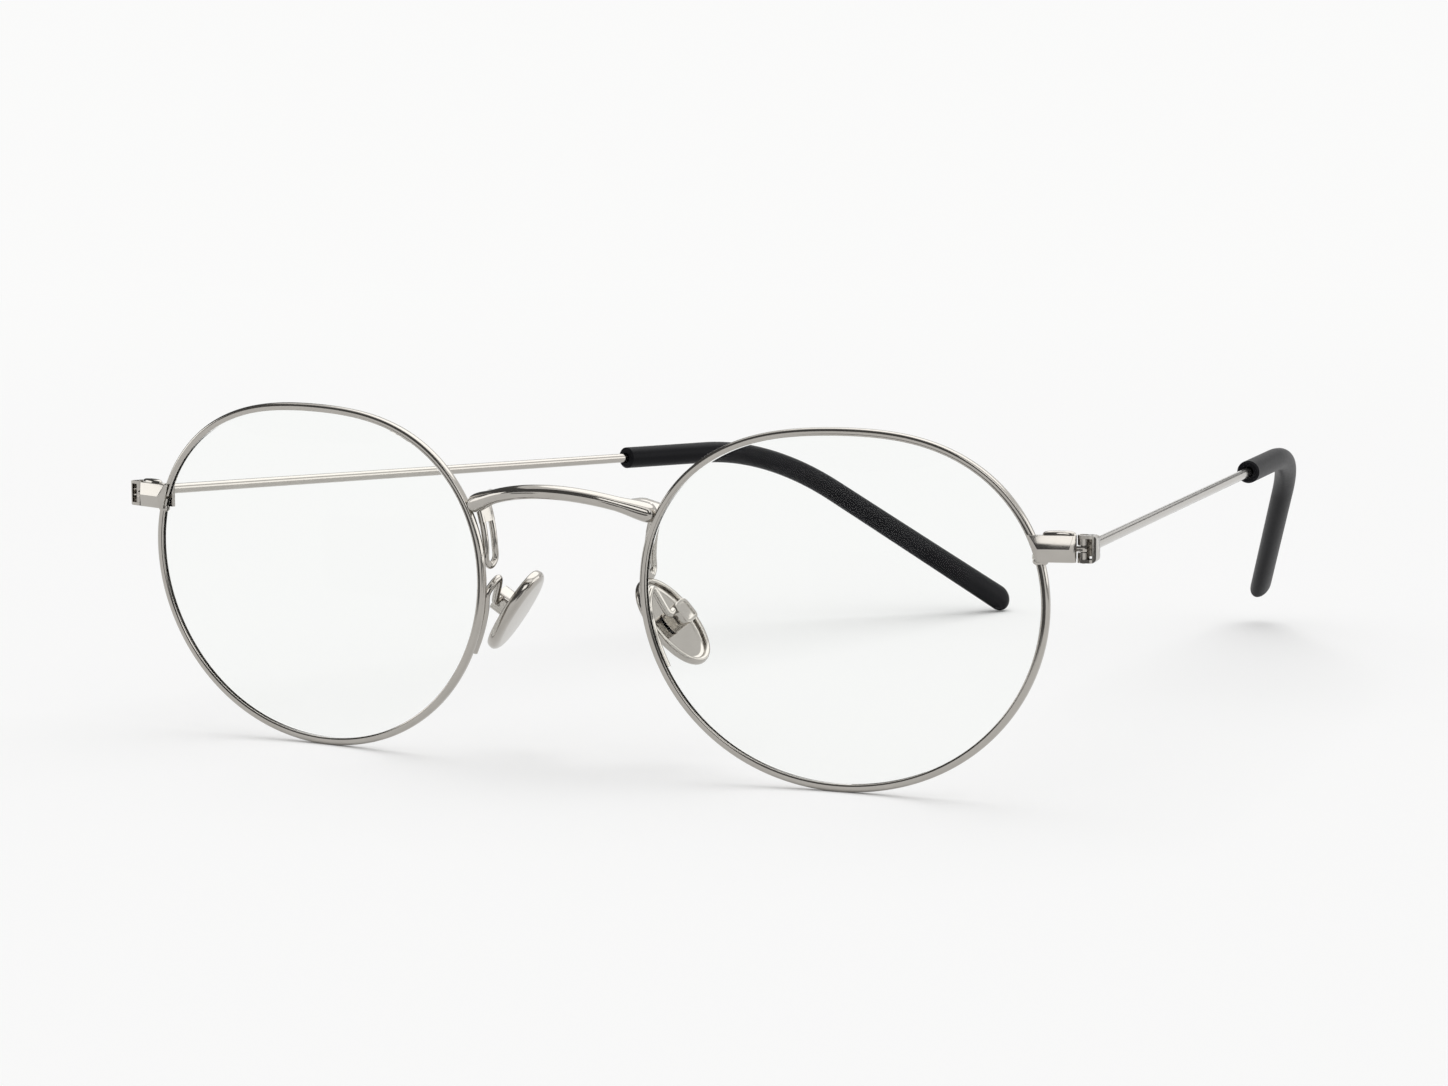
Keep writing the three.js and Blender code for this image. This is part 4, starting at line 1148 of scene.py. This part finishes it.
def black_acetate():
    """Cellulose acetate, moulded and tumbled: deep black with a satin sheen and a faint cloud."""
    finish = settings("finish")
    _, tree, output, place = new_material("Black acetate")
    cloud = add_node(tree, "ShaderNodeTexNoise", inputs={
        "Vector": place, "Scale": per_metre(6), "Detail": 4.0})
    tone = add_node(tree, "ShaderNodeMix", {"data_type": "RGBA"}, {
        "Factor": cloud.outputs["Fac"], "A": opaque(finish.acetate), "B": opaque(finish.acetate_cloud)})
    # The tumbled surface is finer than a pixel here, so it is drawn with 0.4 mm grain.
    grain = add_node(tree, "ShaderNodeTexNoise", inputs={
        "Vector": place, "Scale": per_metre(0.4), "Detail": 2.0})
    gloss = add_node(tree, "ShaderNodeMapRange", inputs={
        "Value": grain.outputs["Fac"], "To Min": 0.3, "To Max": 0.44})
    bump = add_node(tree, "ShaderNodeBump", inputs={
        "Height": grain.outputs["Fac"], "Strength": 0.04, "Distance": 0.05 * MM})
    add_node(tree, "ShaderNodeBsdfPrincipled", inputs={
        "Base Color": tone.outputs["Result"], "Roughness": gloss.outputs["Result"], "IOR": 1.48,
        "Specular IOR Level": 0.06, "Normal": bump.outputs["Normal"]})
    tree.links.new(tree.nodes["Principled BSDF"].outputs["BSDF"], output.inputs["Surface"])


class GLASSES_OT_finishes(bpy.types.Operator):
    """Make the steel, lens and acetate materials"""

    bl_idname = "glasses.finishes"
    bl_label = "Finishes"

    def execute(self, context):
        polished_steel()
        turned_steel()
        clear_lens()
        black_acetate()
        return {"FINISHED"}


# Stage


def pale_floor():
    """A matt painted studio floor that runs out into plain white, so that no horizon shows."""
    stage = settings("stage")
    material, tree, output, place = new_material("Pale studio floor")
    paint = add_node(tree, "ShaderNodeBsdfDiffuse", inputs={"Color": opaque(settings("finish").floor)})
    white = add_node(tree, "ShaderNodeEmission", inputs={"Color": WHITE, "Strength": stage.white})
    away = add_node(tree, "ShaderNodeVectorMath", {"operation": "LENGTH"}, {0: place})
    far = add_node(tree, "ShaderNodeMapRange", {"interpolation_type": "SMOOTHSTEP"}, {
        "Value": away.outputs["Value"], "From Min": 0.2, "From Max": 0.9})
    mixed = add_node(tree, "ShaderNodeMixShader", inputs={
        0: far.outputs["Result"], 1: paint.outputs["BSDF"], 2: white.outputs["Emission"]})
    tree.links.new(mixed.outputs["Shader"], output.inputs["Surface"])
    return material


def studio_world():
    """Even light from all round, and plain white to the eye, to metal and to glass."""
    stage = settings("stage")
    world = bpy.data.worlds.new("Studio")
    world.use_nodes = True
    tree = world.node_tree
    tree.nodes.clear()
    sky = add_node(tree, "ShaderNodeBackground", inputs={"Color": WHITE, "Strength": stage.sky})
    white = add_node(tree, "ShaderNodeBackground", inputs={"Color": WHITE, "Strength": stage.white})
    path = add_node(tree, "ShaderNodeLightPath")
    through = add_node(tree, "ShaderNodeMath", {"operation": "MAXIMUM"}, {
        0: path.outputs["Is Camera Ray"], 1: path.outputs["Is Transmission Ray"]})
    seen = add_node(tree, "ShaderNodeMath", {"operation": "MAXIMUM"}, {
        0: through.outputs["Value"], 1: path.outputs["Is Glossy Ray"]})
    # Light that the floor gets through a lens stays at the sky's own level
    direct = add_node(tree, "ShaderNodeMath", {"operation": "LESS_THAN"}, {
        0: path.outputs["Diffuse Depth"], 1: 0.5})
    shown = add_node(tree, "ShaderNodeMath", {"operation": "MULTIPLY"}, {
        0: seen.outputs["Value"], 1: direct.outputs["Value"]})
    mixed = add_node(tree, "ShaderNodeMixShader", inputs={
        0: shown.outputs["Value"], 1: sky.outputs["Background"], 2: white.outputs["Background"]})
    add_node(tree, "ShaderNodeOutputWorld", inputs={"Surface": mixed.outputs["Shader"]})
    bpy.context.scene.world = world


def softbox(name, strength, azimuth, elevation):
    """A broad round lamp far off, which polished metal shows as a soft highlight."""
    bpy.ops.object.select_all(action="DESELECT")
    bpy.ops.object.light_add(
        type="SUN", location=(0, 0, 1), rotation=(radians(90 - elevation), 0, radians(azimuth)))
    lamp = bpy.context.object
    lamp.name = name
    lamp.data.angle = settings("stage").softbox_width
    lamp.data.energy = strength


# Where each card stands: its lower and upper corner in metres
BRIGHT_CARDS = (
    ("right_card", (0.26, -0.085, 0.023), (0.262, 0.3, 0.2)),
    ("left_card", (-0.302, -0.21, 0.045), (-0.3, -0.07, 0.125)),
    ("front_card", (0.14, -0.802, 0.36), (0.75, -0.8, 0.75)),
)
DARK_CARDS = (
    ("dark_hip_strip", (0.22, -0.05, 0.001), (0.222, 0.03, 0.021)),
    ("dark_right_card", (0.26, -0.26, 0.001), (0.262, -0.095, 0.12)),
    ("dark_left_wall", (-0.502, -0.5, 0.06), (-0.5, 0.6, 0.5)),
    ("dark_right_strip", (0.01, -0.142, 0.001), (0.07, -0.14, 0.021)),
    ("dark_left_strip", (-0.09, -0.142, 0.001), (-0.05, -0.14, 0.021)),
    ("dark_front_wall", (-1.6, -0.902, 0.08), (1.6, -0.9, 1.5)),
    ("dark_back_strip", (-0.9, 0.9, 0.185), (0.7, 0.902, 0.235)),
)


def card(name, brightness, low, high):
    """A card beside the glasses that only polished surfaces see, to draw their edges."""
    material, tree, output, _ = new_material(name)
    material.cycles.emission_sampling = "NONE"
    glow = add_node(tree, "ShaderNodeEmission", inputs={"Color": WHITE, "Strength": brightness})
    tree.links.new(glow.outputs["Emission"], output.inputs["Surface"])
    made = block(low, high)
    made.name = name
    made.data.materials.append(material)
    made.visible_camera = False
    made.visible_diffuse = False
    made.visible_transmission = False
    made.visible_shadow = False


class GLASSES_OT_stage(bpy.types.Operator):
    """Set up the pale floor, the softboxes, the bright and dark cards and the camera"""

    bl_idname = "glasses.stage"
    bl_label = "Stage"

    def execute(self, context):
        stage = settings("stage")
        floor = start(bpy.ops.mesh.primitive_plane_add, size=stage.floor_size)
        floor.name = "floor"
        floor.data.materials.append(pale_floor())
        studio_world()
        softbox("top_softbox", stage.top_lamp, 180, 68)
        softbox("front_softbox", stage.front_lamp, 38, 36)
        for name, low, high in BRIGHT_CARDS:
            card(name, stage.bright_card, low, high)
        for name, low, high in DARK_CARDS:
            card(name, stage.dark_card, low, high)

        forward = Vector((-sin(stage.yaw) * cos(stage.pitch), cos(stage.yaw) * cos(stage.pitch),
                          sin(stage.pitch)))
        right = Vector((cos(stage.yaw), sin(stage.yaw), 0))
        above = right.cross(forward)
        level = Matrix((right, above, -forward)).transposed().to_4x4()
        bpy.ops.object.camera_add()
        camera = context.object
        camera.name = "photo_camera"
        camera.matrix_world = (Matrix.Translation(stage.camera) @ level
                               @ Matrix.Rotation(stage.roll, 4, "Z"))
        camera.data.lens = stage.focal
        camera.data.sensor_width = 36
        camera.data.clip_start = 0.01
        context.scene.camera = camera
        context.scene.view_settings.view_transform = "Standard"
        return {"FINISHED"}


class GLASSES_PT_panel(bpy.types.Panel):
    """Sizes, finishes and the operators that model the glasses"""

    bl_idname = "GLASSES_PT_panel"
    bl_label = "Round Reading Glasses"
    bl_space_type = "VIEW_3D"
    bl_region_type = "UI"
    bl_category = "Glasses"

    def draw(self, context):
        for operator in OPERATORS:
            self.layout.operator(operator.bl_idname)
        for name, group in GROUPS.items():
            box = self.layout.box()
            box.label(text=name.title())
            for prop in group.__annotations__:
                box.prop(settings(name), prop)


OPERATORS = (
    GLASSES_OT_finishes, GLASSES_OT_rims, GLASSES_OT_lenses, GLASSES_OT_bridge, GLASSES_OT_end_pieces,
    GLASSES_OT_hinges, GLASSES_OT_temples, GLASSES_OT_nose_pads, GLASSES_OT_stage,
)
GROUPS = {
    "front": GlassesFront, "bridge": GlassesBridge, "hinge": GlassesHinge, "temple": GlassesTemple,
    "pads": GlassesPads, "finish": GlassesFinish, "stage": GlassesStage,
}


def register():
    for name, group in GROUPS.items():
        bpy.utils.register_class(group)
        setattr(bpy.types.Scene, "glasses_" + name, PointerProperty(type=group))
    for made in (*OPERATORS, GLASSES_PT_panel):
        bpy.utils.register_class(made)


def unregister():
    for made in (GLASSES_PT_panel, *reversed(OPERATORS)):
        bpy.utils.unregister_class(made)
    for name, group in GROUPS.items():
        delattr(bpy.types.Scene, "glasses_" + name)
        bpy.utils.unregister_class(group)


def main():
    register()
    bpy.ops.glasses.finishes()
    bpy.ops.glasses.rims()
    bpy.ops.glasses.lenses()
    bpy.ops.glasses.bridge()
    bpy.ops.glasses.end_pieces()
    bpy.ops.glasses.hinges()
    bpy.ops.glasses.temples()
    bpy.ops.glasses.nose_pads()
    bpy.ops.glasses.stage()


if __name__ == "__main__":
    main()
